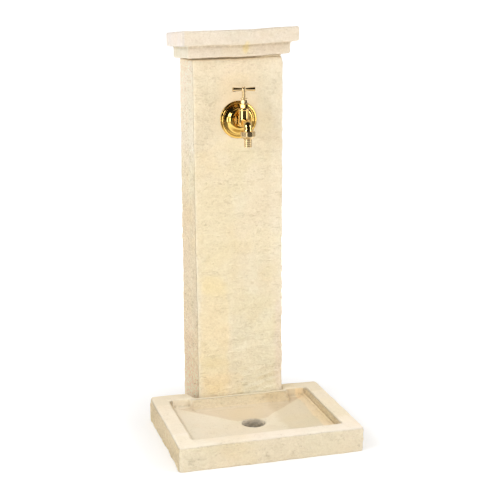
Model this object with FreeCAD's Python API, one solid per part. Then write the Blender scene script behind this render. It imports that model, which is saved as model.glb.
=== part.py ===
"""Garden standpipe fountain in cast stone, with a polished brass bib tap.

A hollow-backed stone column stands in a notch in the back of a shallow stone tray with a sloped basin
and a plain waste hole. A two-step stone cap is bedded on the column. Water comes up a copper riser in the
channel at the back of the column, through a screwed wall-plate elbow and a brass extension, to a screw-down
tap with a T-handle, a round wall rosette and a hose union. Each piece is a solid in a node of its own.

Row frame, in millimetres: +X to the user's right, +Y to the back, +Z up. The origin is on the ground, in the
middle of the overall box. The user stands on the -Y side. Lengths along the tap are measured from the
column's front face, outwards, and heights in the tap from the axis of its inlet.
"""

import FreeCAD
import Part

import math
import os

Vector = FreeCAD.Vector

# ---- Stone pieces -------------------------------------------------------------------------------------
column_width = 208.0
column_depth = 132.0
column_height = 839.0
column_edge_radius = 3.0

mortar_thickness = 3.0
mortar_inset = 4.0

cap_lower_thickness = 26.5
cap_lower_overhang = 12.5
cap_upper_thickness = 31.5
cap_upper_overhang = 28.0
cap_edge_radius = 3.0

tray_width = 410.0
tray_depth = 314.0
tray_height = 56.0
tray_corner_radius = 8.0
tray_top_edge_radius = 5.0
tray_foot_edge_radius = 2.0

notch_depth = 37.0
notch_front_gap = 2.0
notch_side_gap = 3.0
notch_flare = 8.0

rim_side = 36.0
rim_front = 35.0
rim_back = 37.0
basin_wall_depth = 18.0
basin_wall_slope = 10.0
basin_back_slope = 2.0
basin_fall = 9.0
basin_corner_radius = 6.0

apron_side_thickness = 11.5
apron_top_thickness = 12.0
apron_foot_reach = 34.0
apron_corner_radius = 12.0
apron_top_radius = 4.0

drain_radius = 26.0
drain_flat = 4.0
drain_edge_radius = 3.0

# ---- Water way in the stone ---------------------------------------------------------------------------
tap_height = 703.0
channel_width = 64.0
channel_depth = 60.0
channel_above_tap = 45.0
tap_hole_radius = 15.0

# ---- Pipe work ----------------------------------------------------------------------------------------
half_inch_thread_radius = 10.48
thread_clearance = 0.02
pipe_radius = 7.5
pipe_wall = 1.0
pipe_clearance = 0.05
pipe_stand_off = 20.0

plate_radius = 25.0
plate_thickness = 5.0
plate_screw_circle_radius = 20.0
plate_screw_angles = (90.0, 210.0, 330.0)
elbow_radius = 14.0
elbow_thread_depth = 13.0
elbow_port_drop = 18.0
elbow_port_radius = 12.0

compression_thread_radius = 10.5
compression_thread_length = 10.0
compression_socket_depth = 16.0
compression_nut_flats = 24.0
compression_nut_length = 17.0
olive_length = 5.8
olive_swell = 1.6

inlet_end_height = 28.0
inlet_thread_length = 14.0
inlet_hex_length = 10.0
inlet_hex_flats = 24.0

clip_heights = (170.0, 400.0, 600.0)
clip_width = 16.0
clip_length = 12.0
clip_ring_wall = 2.6
clip_mouth_angle = 70.0

screw_shank_radius = 2.1
screw_head_radius = 4.0
screw_head_thickness = 2.6
screw_hole_radius = 2.4
screw_depth_in_wall = 22.0
plug_radius = 3.5
plug_length = 26.0
plug_bore_radius = 2.2
plug_hole_clearance = 0.1

# ---- Extension through the stone ----------------------------------------------------------------------
extension_radius = 13.2
extension_socket_length = 17.0
extension_bore_radius = 7.0
extension_shoulder_gap = 10.0
extension_thread_end_gap = 1.0

# ---- Rosette ------------------------------------------------------------------------------------------
rosette_radius = 42.0
rosette_height = 14.0
rosette_sheet = 1.2
rosette_hole_clearance = 0.12

# ---- Tap body -----------------------------------------------------------------------------------------
spindle_reach = 45.0
spout_reach = 78.0
inlet_collar_radius = 13.0
inlet_collar_length = 3.0
inlet_thread_back = 1.0
inlet_bore_radius = 6.0
cheek_width = 21.0
cheek_height = 25.0
cheek_edge_radius = 5.0
chamber_radius = 11.5
chamber_top = 28.0
chamber_bead_radius = 12.1
chamber_bead_length = 3.5
chamber_foot_radius = 12.6
chamber_bore_radius = 8.5
chamber_floor = 1.5
seat_top = 3.0
seat_bore_radius = 5.0
seat_lip_radius = 6.6
lower_way_radius = 4.5
lower_way_height = -5.0
spout_radius = 9.6
spout_bore_radius = 6.6
spout_axis_height = -3.0
spout_bend_radius = 11.5
spout_flare_radius = 11.2
spout_flare_length = 3.8
outlet_thread_radius = 13.2
outlet_thread_top = -18.5
outlet_thread_length = 8.0
upper_way_radius = 4.4

# ---- Head work ----------------------------------------------------------------------------------------
bonnet_thread_radius = 9.0
bonnet_skirt_length = 11.0
bonnet_washer_thickness = 1.0
bonnet_washer_radius = 11.0
bonnet_flats = 17.0
bonnet_hex_height = 9.0
bonnet_neck_radius = 5.4
bonnet_neck_length = 5.5
bonnet_thread_relief = 1.5
fine_clearance = 0.05
gland_flats = 13.0
gland_foot_gap = 0.6
gland_hex_height = 8.4
gland_roof = 1.5
gland_neck_radius = 5.6
gland_neck_length = 2.8
gland_disc_radius = 8.2
gland_disc_thickness = 1.6
packing_height = 1.8

# ---- Spindle, handle and valve ------------------------------------------------------------------------
spindle_radius = 4.0
spindle_thread_radius = 5.0
spindle_thread_pitch = 2.0
spindle_turns = 3.0
spindle_foot = 12.0
spindle_thread_top = 30.0
spindle_shoulder = 63.5
spindle_square = 5.5
spindle_square_height = 8.0
spindle_socket_depth = 11.0

handle_height = 70.0
handle_length = 51.8
handle_hub_radius = 4.9
handle_neck_radius = 4.7
handle_arm_root_radius = 2.8
handle_arm_end_radius = 4.8
handle_end_dome = 0.9
handle_end_flat = 1.5
handle_square_clearance = 0.08

handle_screw_radius = 1.9
handle_screw_length = 8.0
handle_screw_head_radius = 3.3
handle_screw_head_height = 2.0
handle_screw_slot = 0.8

jumper_stem_radius = 2.5
jumper_stem_clearance = 0.1
jumper_stem_length = 9.0
jumper_collar_radius = 4.2
jumper_disc_radius = 6.6
jumper_disc_thickness = 2.4
jumper_pin_radius = 1.6
valve_washer_thickness = 3.0
valve_washer_radius = 6.3
jumper_nut_flats = 5.0
jumper_nut_height = 2.2

# ---- Hose union ---------------------------------------------------------------------------------------
union_turns = 5.0
union_thread_pitch = 1.814
union_nut_sides = 8
union_nut_flats = 30.6
union_nut_top_gap = 0.3
union_nut_band = 9.2
union_nut_cone_radius = 11.4
union_nut_cone_length = 6.7
union_clearance = 0.1
union_flange_clearance = 0.3
hose_washer_thickness = 2.0
hose_washer_radius = 12.2
tail_flange_radius = 12.3
tail_flange_thickness = 1.8
tail_neck_radius = 9.5
tail_neck_clearance = 0.15
tail_neck_length = 5.2
tail_bore_radius = 6.2
tail_barbs = 4
tail_barb_pitch = 4.3
tail_barb_crest = 9.4
tail_barb_root = 8.2
tail_end_radius = 7.6

# ---- Places that follow from the sizes ----------------------------------------------------------------
overall_depth = tray_depth - notch_depth + column_depth
tray_front_y = -overall_depth / 2
column_back_y = overall_depth / 2
column_front_y = column_back_y - column_depth
tray_back_y = column_front_y + notch_depth
cap_bottom = column_height + mortar_thickness
channel_wall_y = column_back_y - channel_depth
pipe_y = channel_wall_y + pipe_stand_off
spindle_lift = spindle_thread_pitch * spindle_turns
tap_origin = Vector(0, column_front_y, tap_height)

UP = Vector(0, 0, 1)
DOWN = Vector(0, 0, -1)
FRONT = Vector(0, -1, 0)
BACK = Vector(0, 1, 0)
OVERLAP = 1.0


# ---- Small tools --------------------------------------------------------------------------------------
def box(x0, x1, y0, y1, z0, z1):
    return Part.makeBox(x1 - x0, y1 - y0, z1 - z0, Vector(x0, y0, z0))


def aim(shape, point, direction=UP):
    """A shape made along +Z from the origin, put at a point with its +Z along a direction."""
    placed = shape.copy()
    placed.Placement = FreeCAD.Placement(point, FreeCAD.Rotation(UP, direction))
    return placed


def rod(radius, point, direction, length):
    return Part.makeCylinder(radius, length, point, direction)


def face_of(points):
    corners = [Vector(*p) for p in points]
    return Part.Face(Part.makePolygon(corners + corners[:1]))


def turned(profile):
    """A solid of revolution about +Z from (radius, height) corners."""
    return face_of([(r, 0, h) for r, h in profile]).revolve(Vector(0, 0, 0), UP, 360)


def lathe(start, *moves):
    """A solid of revolution about +Z: each move is a corner (r, h), or an arc's middle and end corners."""
    edges, at = [], start
    for move in moves + (start,):
        if isinstance(move[0], tuple):
            via, end = move
            edges.append(Part.Arc(*[Vector(r, 0, h) for r, h in (at, via, end)]).toShape())
        else:
            end = move
            edges.append(Part.makeLine(Vector(at[0], 0, at[1]), Vector(end[0], 0, end[1])))
        at = end
    return Part.Face(Part.Wire(edges)).revolve(Vector(0, 0, 0), UP, 360)


def ring(outer, inner, bottom, top):
    return turned([(inner, bottom), (outer, bottom), (outer, top), (inner, top)])


def prism(sides, across_flats, bottom, top, chamfer=0.0):
    """A regular prism about +Z with two faces square to X, its ends turned off at the corners."""
    corner = across_flats / 2 / math.cos(math.pi / sides)
    angles = [math.pi / sides + 2 * math.pi * n / sides for n in range(sides)]
    outline = face_of([(corner * math.cos(a), corner * math.sin(a), bottom) for a in angles])
    solid = outline.extrude(Vector(0, 0, top - bottom))
    if chamfer:
        inside = corner - chamfer
        rise = chamfer * math.tan(math.radians(30))
        turned_off = [(0, bottom), (inside, bottom), (corner, bottom + rise), (corner, top - rise)]
        solid = solid.common(turned(turned_off + [(inside, top), (0, top)]))
    return solid


def frustum(low, z_low, high, z_high):
    """A solid with flat sides between two rectangles (x0, x1, y0, y1)."""
    def corners(rectangle, z):
        x0, x1, y0, y1 = rectangle
        return [(x0, y0, z), (x1, y0, z), (x1, y1, z), (x0, y1, z)]

    a, b = corners(low, z_low), corners(high, z_high)
    sides = [(a[n], a[(n + 1) % 4], b[(n + 1) % 4], b[n]) for n in range(4)]
    faces = [face_of(a[::-1]), face_of(b)] + [face_of(side) for side in sides]
    solid = Part.makeSolid(Part.makeShell(faces))
    if solid.Volume < 0:
        solid.reverse()
    return solid


def round_edges(shape, radius, wanted):
    """Rounds the edges for which wanted(edge) is true."""
    return shape.makeFillet(radius, [e for e in shape.Edges if wanted(e)])


def is_vertical(edge):
    a, b = edge.Vertexes[0].Point, edge.Vertexes[-1].Point
    return abs(a.x - b.x) < 1e-6 and abs(a.y - b.y) < 1e-6


def lies_at(edge, z):
    return all(abs(v.Z - z) < 1e-6 for v in edge.Vertexes)


def save(name, *shapes):
    """Writes one node: one solid, or a group of identical solids."""
    solids = [s for shape in shapes for s in shape.Solids]
    for solid in solids:
        if not solid.isValid() or solid.Volume <= 0:
            raise ValueError(f"{name} is not a valid solid")
    whole = solids[0] if len(solids) == 1 else Part.makeCompound(solids)
    whole.exportStep(f"parts/{name}.step")


def at_tap(shape):
    """Moves a shape from the tap's own frame, with its origin on the wall at the inlet axis."""
    moved = shape.copy()
    moved.translate(tap_origin)
    return moved


def on_spindle(shape):
    moved = at_tap(shape)
    moved.translate(FRONT * spindle_reach)
    return moved


def on_spout(shape):
    moved = at_tap(shape)
    moved.translate(FRONT * spout_reach)
    return moved


# ---- Stone --------------------------------------------------------------------------------------------
def wall_fixings():
    """(point, direction into the wall) of every plug in the channel's wall."""
    plate = [
        Vector(
            plate_screw_circle_radius * math.cos(math.radians(a)),
            channel_wall_y,
            tap_height + plate_screw_circle_radius * math.sin(math.radians(a)),
        )
        for a in plate_screw_angles
    ]
    clips = [Vector(0, channel_wall_y, z) for z in clip_heights]
    return plate, clips


def make_column():
    half = column_width / 2
    body = box(-half, half, column_front_y, column_back_y, 0, column_height)
    body = round_edges(body, column_edge_radius, is_vertical)
    side = channel_width / 2
    top = tap_height + channel_above_tap
    body = body.cut(box(-side, side, channel_wall_y, column_back_y + OVERLAP, -OVERLAP, top))
    wall = column_depth - channel_depth
    start = Vector(0, column_front_y - OVERLAP, tap_height)
    body = body.cut(rod(tap_hole_radius, start, BACK, wall + 2 * OVERLAP))
    plate, clips = wall_fixings()
    for point in plate + clips:
        start = point + BACK * OVERLAP
        body = body.cut(rod(plug_radius + plug_hole_clearance, start, FRONT, plug_length + 2 * OVERLAP))
    return body


def make_mortar_bed():
    half = column_width / 2 - mortar_inset
    front, back = column_front_y + mortar_inset, column_back_y - mortar_inset
    return box(-half, half, front, back, column_height, cap_bottom)


def make_cap():
    step = cap_bottom + cap_lower_thickness
    top = step + cap_upper_thickness

    def slab(overhang, z0, z1):
        half = column_width / 2 + overhang
        block = box(-half, half, column_front_y - overhang, column_back_y, z0, z1)
        return block.makeFillet(cap_edge_radius, block.Edges)

    lower = slab(cap_lower_overhang, cap_bottom, step + cap_edge_radius)
    return lower.fuse(slab(cap_upper_overhang, step, top)).removeSplitter()


def basin_hollow():
    """The space in the tray: sloped walls, then four falls to a small flat round the waste hole."""
    edge_z = tray_height - basin_wall_depth
    half = tray_width / 2 - rim_side
    front, back = tray_front_y + rim_front, tray_back_y - rim_back
    grow = OVERLAP / basin_wall_depth
    side_out, back_out = basin_wall_slope * grow, basin_back_slope * grow
    mouth = (-half - side_out, half + side_out, front - side_out, back + back_out)
    floor = (
        -half + basin_wall_slope,
        half - basin_wall_slope,
        front + basin_wall_slope,
        back - basin_back_slope,
    )
    flat = drain_radius + drain_flat
    drain_y = (front + back) / 2
    sump = (-flat, flat, drain_y - flat, drain_y + flat)
    walls = frustum(floor, edge_z, mouth, tray_height + OVERLAP)

    def is_corner(edge):
        return not (lies_at(edge, edge_z) or lies_at(edge, tray_height + OVERLAP))

    walls = round_edges(walls, basin_corner_radius, is_corner)
    falls = frustum(sump, edge_z - basin_fall, floor, edge_z)
    return walls.fuse(falls), drain_y


def make_apron():
    """The part of the back rim that goes round the column and slopes down into the basin."""
    half = column_width / 2 + notch_side_gap + apron_side_thickness
    fall = (apron_foot_reach - apron_top_thickness) / basin_wall_depth
    foot_z = tray_height - basin_wall_depth - basin_fall - drain_edge_radius
    foot_y = column_front_y - apron_top_thickness - fall * (tray_height - foot_z)
    back_y = column_front_y + OVERLAP
    side = face_of(
        [
            (-half, back_y, foot_z),
            (-half, foot_y, foot_z),
            (-half, column_front_y - apron_top_thickness, tray_height),
            (-half, back_y, tray_height),
        ]
    )
    block = side.extrude(Vector(2 * half, 0, 0))

    def is_front_corner(edge):
        a, b = edge.Vertexes[0].Point, edge.Vertexes[-1].Point
        return abs(a.x - b.x) < 1e-6 and abs(a.z - b.z) > OVERLAP and max(a.y, b.y) < back_y - OVERLAP

    block = round_edges(block, apron_corner_radius, is_front_corner)

    def is_top_edge(edge):
        return lies_at(edge, tray_height) and edge.BoundBox.YMin < back_y - OVERLAP

    return round_edges(block, apron_top_radius, is_top_edge)


def make_tray():
    half = tray_width / 2
    block = box(-half, half, tray_front_y, tray_back_y, 0, tray_height)
    block = round_edges(block, tray_corner_radius, is_vertical)
    block = round_edges(block, tray_top_edge_radius, lambda e: lies_at(e, tray_height))
    block = round_edges(block, tray_foot_edge_radius, lambda e: lies_at(e, 0))
    hollow, drain_y = basin_hollow()
    block = block.cut(hollow).fuse(make_apron())
    front = column_width / 2 + notch_side_gap
    back = front + notch_flare * (notch_depth + notch_front_gap + OVERLAP) / (notch_depth + notch_front_gap)
    front_y, back_y = column_front_y - notch_front_gap, tray_back_y + OVERLAP
    notch = face_of(
        [(-front, front_y, -OVERLAP), (front, front_y, -OVERLAP),
         (back, back_y, -OVERLAP), (-back, back_y, -OVERLAP)]
    ).extrude(UP * (tray_height + 2 * OVERLAP))
    waste = rod(drain_radius, Vector(0, drain_y, -OVERLAP), UP, tray_height)
    block = block.cut(notch).cut(waste).removeSplitter()
    sump_z = tray_height - basin_wall_depth - basin_fall

    def is_waste_mouth(edge):
        if not (lies_at(edge, sump_z) and isinstance(edge.Curve, Part.Circle)):
            return False
        return edge.Curve.Radius < drain_radius + 1

    return round_edges(block, drain_edge_radius, is_waste_mouth)


# ---- Pipe work ----------------------------------------------------------------------------------------
def screw():
    """A pan-head wood screw along -Z, its head standing on z = 0."""
    head = Part.makeCylinder(screw_head_radius, screw_head_thickness)
    head = round_edges(head, screw_head_thickness / 3, lambda e: lies_at(e, screw_head_thickness))
    arm = screw_head_radius * 0.6
    slot_depth = screw_head_thickness / 2
    for angle in (0, 90):
        slot = box(-arm, arm, -0.5, 0.5, slot_depth, screw_head_thickness + OVERLAP)
        slot.rotate(Vector(0, 0, 0), UP, angle)
        head = head.cut(slot)
    return head


def screw_into_wall(point, head_stand):
    """The screw that goes into the plug at a point of the wall, its head seated head_stand above it."""
    head = aim(screw(), point + BACK * head_stand, BACK)
    shank_length = head_stand + screw_depth_in_wall
    shank = Part.makeCylinder(screw_shank_radius, shank_length - screw_shank_radius)
    tip = Part.makeCone(screw_shank_radius, 0, screw_shank_radius)
    tip.translate(UP * (shank_length - screw_shank_radius))
    return head.fuse(aim(shank.fuse(tip), point + BACK * head_stand, FRONT))


def plug_in_wall(point):
    solid = ring(plug_radius, plug_bore_radius, 0, plug_length)
    reach = plug_radius + OVERLAP
    slit = box(-0.4, 0.4, -reach, reach, plug_length * 0.35, plug_length + OVERLAP)
    return aim(solid.cut(slit), point, FRONT)


def compression_male():
    """What a fitting has at a compression end, from its shoulder at z = 0: a threaded, bored nose."""
    nose = Part.makeCylinder(compression_thread_radius, compression_thread_length)
    return nose.makeChamfer(0.6, [e for e in nose.Edges if lies_at(e, compression_thread_length)])


def compression_bore():
    """The pipe's socket and the water way behind it."""
    socket = Part.makeCylinder(
        pipe_radius + pipe_clearance,
        compression_socket_depth + OVERLAP,
        Vector(0, 0, compression_thread_length - compression_socket_depth),
    )
    return socket


def compression_nut():
    top = OVERLAP + compression_nut_length
    body = prism(6, compression_nut_flats, OVERLAP, top, chamfer=1.2)
    olive_end = compression_thread_length + olive_length + 0.4
    thread = Part.makeCylinder(compression_thread_radius + thread_clearance, compression_thread_length + 0.2)
    cavity = Part.makeCylinder(pipe_radius + olive_swell + 0.2, olive_end)
    exit_hole = Part.makeCylinder(pipe_radius + pipe_clearance, top + OVERLAP)
    return body.cut(thread).cut(cavity).cut(exit_hole)


def olive():
    low = compression_thread_length + 0.2
    high = low + olive_length
    middle = (low + high) / 2
    inner, outer = pipe_radius, pipe_radius + olive_swell
    edge = inner + olive_swell * 0.35
    return turned([(inner, low), (edge, low), (outer, middle), (edge, high), (inner, high)])


def make_wall_elbow():
    """A wall-plate elbow: a screw plate on the channel's wall, its thread to the front and its port down."""
    plate = aim(Part.makeCylinder(plate_radius, plate_thickness), Vector(0, 0, 0), BACK)
    plate = round_edges(plate, 1.0, lambda e: e.BoundBox.YMin > plate_thickness - 0.1)
    boss = rod(elbow_radius, Vector(0, 0, 0), BACK, pipe_stand_off)
    knee = Part.makeSphere(elbow_radius, Vector(0, pipe_stand_off, 0))
    port = rod(elbow_port_radius, Vector(0, pipe_stand_off, 0), DOWN, elbow_port_drop)
    shoulder = Vector(0, pipe_stand_off, -elbow_port_drop)
    solid = plate.fuse(boss).fuse(knee).fuse(port).fuse(aim(compression_male(), shoulder, DOWN))
    solid = solid.cut(rod(half_inch_thread_radius + thread_clearance, FRONT, BACK, elbow_thread_depth + 1))
    solid = solid.cut(rod(extension_bore_radius, Vector(0, 0, 0), BACK, pipe_stand_off))
    solid = solid.cut(Part.makeSphere(extension_bore_radius, Vector(0, pipe_stand_off, 0)))
    solid = solid.cut(rod(pipe_radius - pipe_wall, Vector(0, pipe_stand_off, 0), DOWN, elbow_port_drop))
    solid = solid.cut(aim(compression_bore(), shoulder, DOWN))
    for angle in plate_screw_angles:
        x = plate_screw_circle_radius * math.cos(math.radians(angle))
        z = plate_screw_circle_radius * math.sin(math.radians(angle))
        solid = solid.cut(rod(screw_hole_radius, Vector(x, -OVERLAP, z), BACK, plate_thickness + 2 * OVERLAP))
    solid.translate(Vector(0, channel_wall_y, tap_height))
    return solid


def make_inlet_fitting():
    """The straight fitting at the foot of the riser, with the supply's male thread pointing down."""
    hex_low = inlet_end_height + inlet_thread_length
    shoulder = hex_low + inlet_hex_length
    foot = Vector(0, 0, inlet_end_height)
    thread = Part.makeCylinder(half_inch_thread_radius, inlet_thread_length + OVERLAP, foot)
    thread = thread.makeChamfer(0.8, [e for e in thread.Edges if lies_at(e, inlet_end_height)])
    nose = aim(compression_male(), UP * shoulder)
    solid = thread.fuse(prism(6, inlet_hex_flats, hex_low, shoulder, chamfer=1.2)).fuse(nose)
    solid = solid.cut(Part.makeCylinder(pipe_radius - pipe_wall, shoulder, Vector(0, 0, 0)))
    solid = solid.cut(aim(compression_bore(), UP * shoulder))
    solid.translate(BACK * pipe_y)
    return solid


def compression_joint_places():
    """(shoulder, direction) of the joint under the elbow and of the one at the foot."""
    top = Vector(0, pipe_y, tap_height - elbow_port_drop)
    foot = Vector(0, pipe_y, inlet_end_height + inlet_thread_length + inlet_hex_length)
    return (top, DOWN), (foot, UP)


def make_riser_pipe():
    (top, _), (foot, _) = compression_joint_places()
    stop = compression_socket_depth - compression_thread_length
    low, high = foot.z - stop, top.z + stop
    pipe = ring(pipe_radius, pipe_radius - pipe_wall, low, high)
    pipe.translate(BACK * pipe_y)
    return pipe


def make_clip(z):
    """A snap-in clip on the channel's wall: a block under the pipe and an open ring round it."""
    inner = pipe_radius + pipe_clearance
    outer = inner + clip_ring_wall
    low, high = z - clip_length / 2, z + clip_length / 2
    block = box(-clip_width / 2, clip_width / 2, channel_wall_y, pipe_y, low, high)
    collar = ring(outer, inner, low, high)
    collar.translate(BACK * pipe_y)
    reach = outer * 2
    half_mouth = math.radians(clip_mouth_angle / 2)
    mouth = face_of(
        [
            (0, pipe_y, low - OVERLAP),
            (reach * math.sin(half_mouth), pipe_y + reach * math.cos(half_mouth), low - OVERLAP),
            (-reach * math.sin(half_mouth), pipe_y + reach * math.cos(half_mouth), low - OVERLAP),
        ]
    ).extrude(UP * (clip_length + 2 * OVERLAP))
    pipe_way = rod(inner, Vector(0, pipe_y, low - OVERLAP), UP, clip_length + 2 * OVERLAP)
    solid = block.fuse(collar).cut(pipe_way).cut(mouth)
    start = Vector(0, channel_wall_y - OVERLAP, z)
    head_seat = clip_head_stand()
    solid = solid.cut(rod(screw_hole_radius, start, BACK, pipe_stand_off))
    seat = Vector(0, channel_wall_y + head_seat, z)
    return solid.cut(rod(screw_head_radius + 0.4, seat, BACK, pipe_stand_off))


def clip_head_stand():
    """How far from the wall a clip's screw head is seated, so that the pipe clears it."""
    return pipe_stand_off - pipe_radius - screw_head_thickness - 1.5


# ---- Extension and rosette ----------------------------------------------------------------------------
def make_extension():
    """The brass piece through the stone, from behind the rosette into the wall elbow."""
    front = rosette_height - rosette_sheet
    wall = column_depth - channel_depth
    thread_end = wall + elbow_thread_depth - extension_thread_end_gap
    solid = rod(extension_radius, FRONT * front, BACK, front + wall - extension_shoulder_gap)
    solid = solid.fuse(rod(half_inch_thread_radius, Vector(0, 0, 0), BACK, thread_end))
    socket_radius = half_inch_thread_radius + thread_clearance
    solid = solid.cut(rod(socket_radius, FRONT * (front + 1), BACK, extension_socket_length + 1))
    return at_tap(solid.cut(rod(extension_bore_radius, Vector(0, 0, 0), BACK, thread_end + OVERLAP)))


def make_rosette():
    """A pressed brass rosette: flat rim with a bead, a step, a cove and a domed centre with a flat top."""
    hole = half_inch_thread_radius + rosette_hole_clearance
    top, sheet = rosette_height, rosette_sheet
    rim, step, cove, dome = rosette_radius, rosette_radius - 8.2, rosette_radius - 16.8, rosette_radius - 26.0

    shell = lathe(
        (rim, 0),
        (rim, 1.3),
        ((rim - 0.3, 2.1), (rim - 1.1, 2.4)),
        (rim - 4.2, 2.9),
        ((rim - 5.3, 4.0), (rim - 6.4, 3.0)),
        (rim - 7.7, 3.1),
        (step, 5.6),
        ((step - 4.9, 6.7), (cove, 9.6)),
        ((cove - 3.7, 12.7), (dome, top)),
        (hole, top),
        (hole, top - sheet),
        (dome, top - sheet),
        ((cove - 4.4, 11.6), (cove - 0.9, 8.8)),
        ((step - 5.3, 5.6), (step - 1.3, 4.5)),
        (step - 1.0, 1.9),
        (rim - sheet, 1.2),
        (rim - sheet, 0),
    )
    return at_tap(aim(shell, Vector(0, 0, 0), FRONT))


# ---- Tap body -----------------------------------------------------------------------------------------
def spout_shape(radius, start_reach):
    """A bent rod: forwards from start_reach, a quarter bend, and its lower end's centre."""
    corner = spout_reach - spout_bend_radius
    start = Vector(0, -start_reach, spout_axis_height)
    turn = Vector(0, -corner, spout_axis_height)
    centre = turn + DOWN * spout_bend_radius
    mouth = Part.Face(Part.Wire(Part.makeCircle(radius, turn, FRONT)))
    bend = mouth.revolve(centre, Vector(1, 0, 0), 90)
    end = centre + FRONT * spout_bend_radius
    return rod(radius, start, FRONT, corner - start_reach).fuse(bend), end


def make_tap_body():
    """A cast body: inlet thread and collar, a flat-cheeked middle, the valve chamber and a bent spout."""
    back = rosette_height
    thread_length = back + inlet_thread_back
    solid = rod(half_inch_thread_radius, BACK * inlet_thread_back, FRONT, thread_length + OVERLAP)
    solid = solid.fuse(rod(inlet_collar_radius, FRONT * back, FRONT, inlet_collar_length + OVERLAP))
    cheek_start = back + inlet_collar_length
    cheeks = box(
        -cheek_width / 2,
        cheek_width / 2,
        -spindle_reach - chamber_radius / 2,
        -cheek_start,
        -cheek_height / 2,
        cheek_height / 2,
    )
    cheeks = round_edges(cheeks, cheek_edge_radius, lambda e: e.BoundBox.YLength > cheek_height / 2)
    solid = solid.fuse(cheeks)

    axis = FRONT * spindle_reach
    bead_low = chamber_top - chamber_bead_length
    solid = solid.fuse(rod(chamber_radius, axis, UP, chamber_top))
    bead = rod(chamber_bead_radius, axis + UP * bead_low, UP, chamber_bead_length)
    solid = solid.fuse(bead.makeFillet(0.8, [e for e in bead.Edges if e.BoundBox.ZLength < 0.1]))
    bulb = chamber_foot_radius
    foot = lathe(
        (0, -bulb),
        (bulb * 0.3, -bulb),
        ((bulb * 0.79, -bulb * 0.68), (bulb, 0)),
        ((bulb * 0.97, bulb * 0.3), (chamber_radius - 0.5, bulb * 0.7)),
        (0, bulb * 0.7),
    )
    solid = solid.fuse(aim(foot, axis))

    spout, end = spout_shape(spout_radius, spindle_reach)
    flare_low = outlet_thread_top
    flare = Part.makeCone(spout_flare_radius, spout_radius, spout_flare_length)
    flare.translate(Vector(0, -spout_reach, flare_low))
    neck = rod(spout_radius, Vector(0, -spout_reach, flare_low), UP, end.z - flare_low + 0.01)
    outlet_end = outlet_thread_top - outlet_thread_length
    outlet = Part.makeCylinder(outlet_thread_radius, outlet_thread_length, Vector(0, -spout_reach, outlet_end))
    outlet = outlet.makeChamfer(0.7, [e for e in outlet.Edges if e.BoundBox.ZLength < 0.1])
    solid = solid.fuse(spout).fuse(neck).fuse(flare).fuse(outlet)
    return at_tap(solid.cut(water_way(end)).removeSplitter())


def water_way(spout_end):
    """The hollow in the body: in under the seat, up through it, over the wall and down the spout."""
    axis = FRONT * spindle_reach
    inlet = rod(inlet_bore_radius, BACK * (inlet_thread_back + OVERLAP), FRONT, spindle_reach - 16)
    lower_start = spindle_reach - 18
    lower = rod(lower_way_radius, Vector(0, -lower_start, lower_way_height), FRONT, 18 + seat_bore_radius / 2)
    seat = rod(seat_bore_radius, axis + UP * (lower_way_height), UP, seat_top - lower_way_height + OVERLAP)
    chamber = rod(chamber_bore_radius, axis + UP * seat_top, UP, chamber_top)
    skirt_low = chamber_top - bonnet_skirt_length - 0.5
    skirt = rod(bonnet_thread_radius + fine_clearance, axis + UP * skirt_low, UP, bonnet_skirt_length + OVERLAP)
    lip_moat = ring(chamber_bore_radius, seat_lip_radius, chamber_floor, seat_top + OVERLAP)
    lip_moat.translate(axis)
    over_start = Vector(0, -spindle_reach - 3, 7)
    over_end = Vector(0, -spout_reach + spout_bend_radius * 0.7, spout_axis_height - 1)
    over = rod(upper_way_radius, over_start, over_end - over_start, (over_end - over_start).Length)
    corner = spout_reach - spout_bend_radius
    bore, _ = spout_shape(spout_bore_radius, corner - 0.5)
    down = rod(spout_bore_radius, spout_end + UP * 0.01, DOWN, 20)
    hollow = inlet.fuse(lower).fuse(seat).fuse(chamber).fuse(skirt).fuse(lip_moat)
    return hollow.fuse(over).fuse(bore).fuse(down)


# ---- Head work ----------------------------------------------------------------------------------------
def bonnet_levels():
    hex_low = chamber_top + bonnet_washer_thickness
    hex_high = hex_low + bonnet_hex_height
    return chamber_top - bonnet_skirt_length, hex_low, hex_high, hex_high + bonnet_neck_length


def make_bonnet():
    """The head: a skirt screwed into the body, a hexagon, and the gland's threaded neck."""
    skirt, hex_low, hex_high, top = bonnet_levels()
    solid = turned([(0, skirt), (bonnet_thread_radius - 0.6, skirt), (bonnet_thread_radius, skirt + 0.6),
                    (bonnet_thread_radius, hex_low + OVERLAP), (0, hex_low + OVERLAP)])
    solid = solid.fuse(prism(6, bonnet_flats, hex_low, hex_high, chamfer=1.0))
    neck_foot = Vector(0, 0, hex_high - OVERLAP)
    solid = solid.fuse(Part.makeCylinder(bonnet_neck_radius, top - hex_high + OVERLAP, neck_foot))
    thread_room = spindle_thread_top + spindle_lift + 0.5
    solid = solid.cut(Part.makeCylinder(spindle_thread_radius + fine_clearance, thread_room - skirt + OVERLAP,
                                        Vector(0, 0, skirt - OVERLAP)))
    return on_spindle(solid.cut(Part.makeCylinder(spindle_radius + fine_clearance, top, Vector(0, 0, skirt))))


def make_bonnet_washer():
    inner = bonnet_thread_radius + fine_clearance
    return on_spindle(ring(bonnet_washer_radius, inner, chamber_top, chamber_top + bonnet_washer_thickness))


def gland_levels():
    low = bonnet_levels()[2] + gland_foot_gap
    high = low + gland_hex_height
    return low, high - gland_roof, high, high + gland_neck_length


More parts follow.
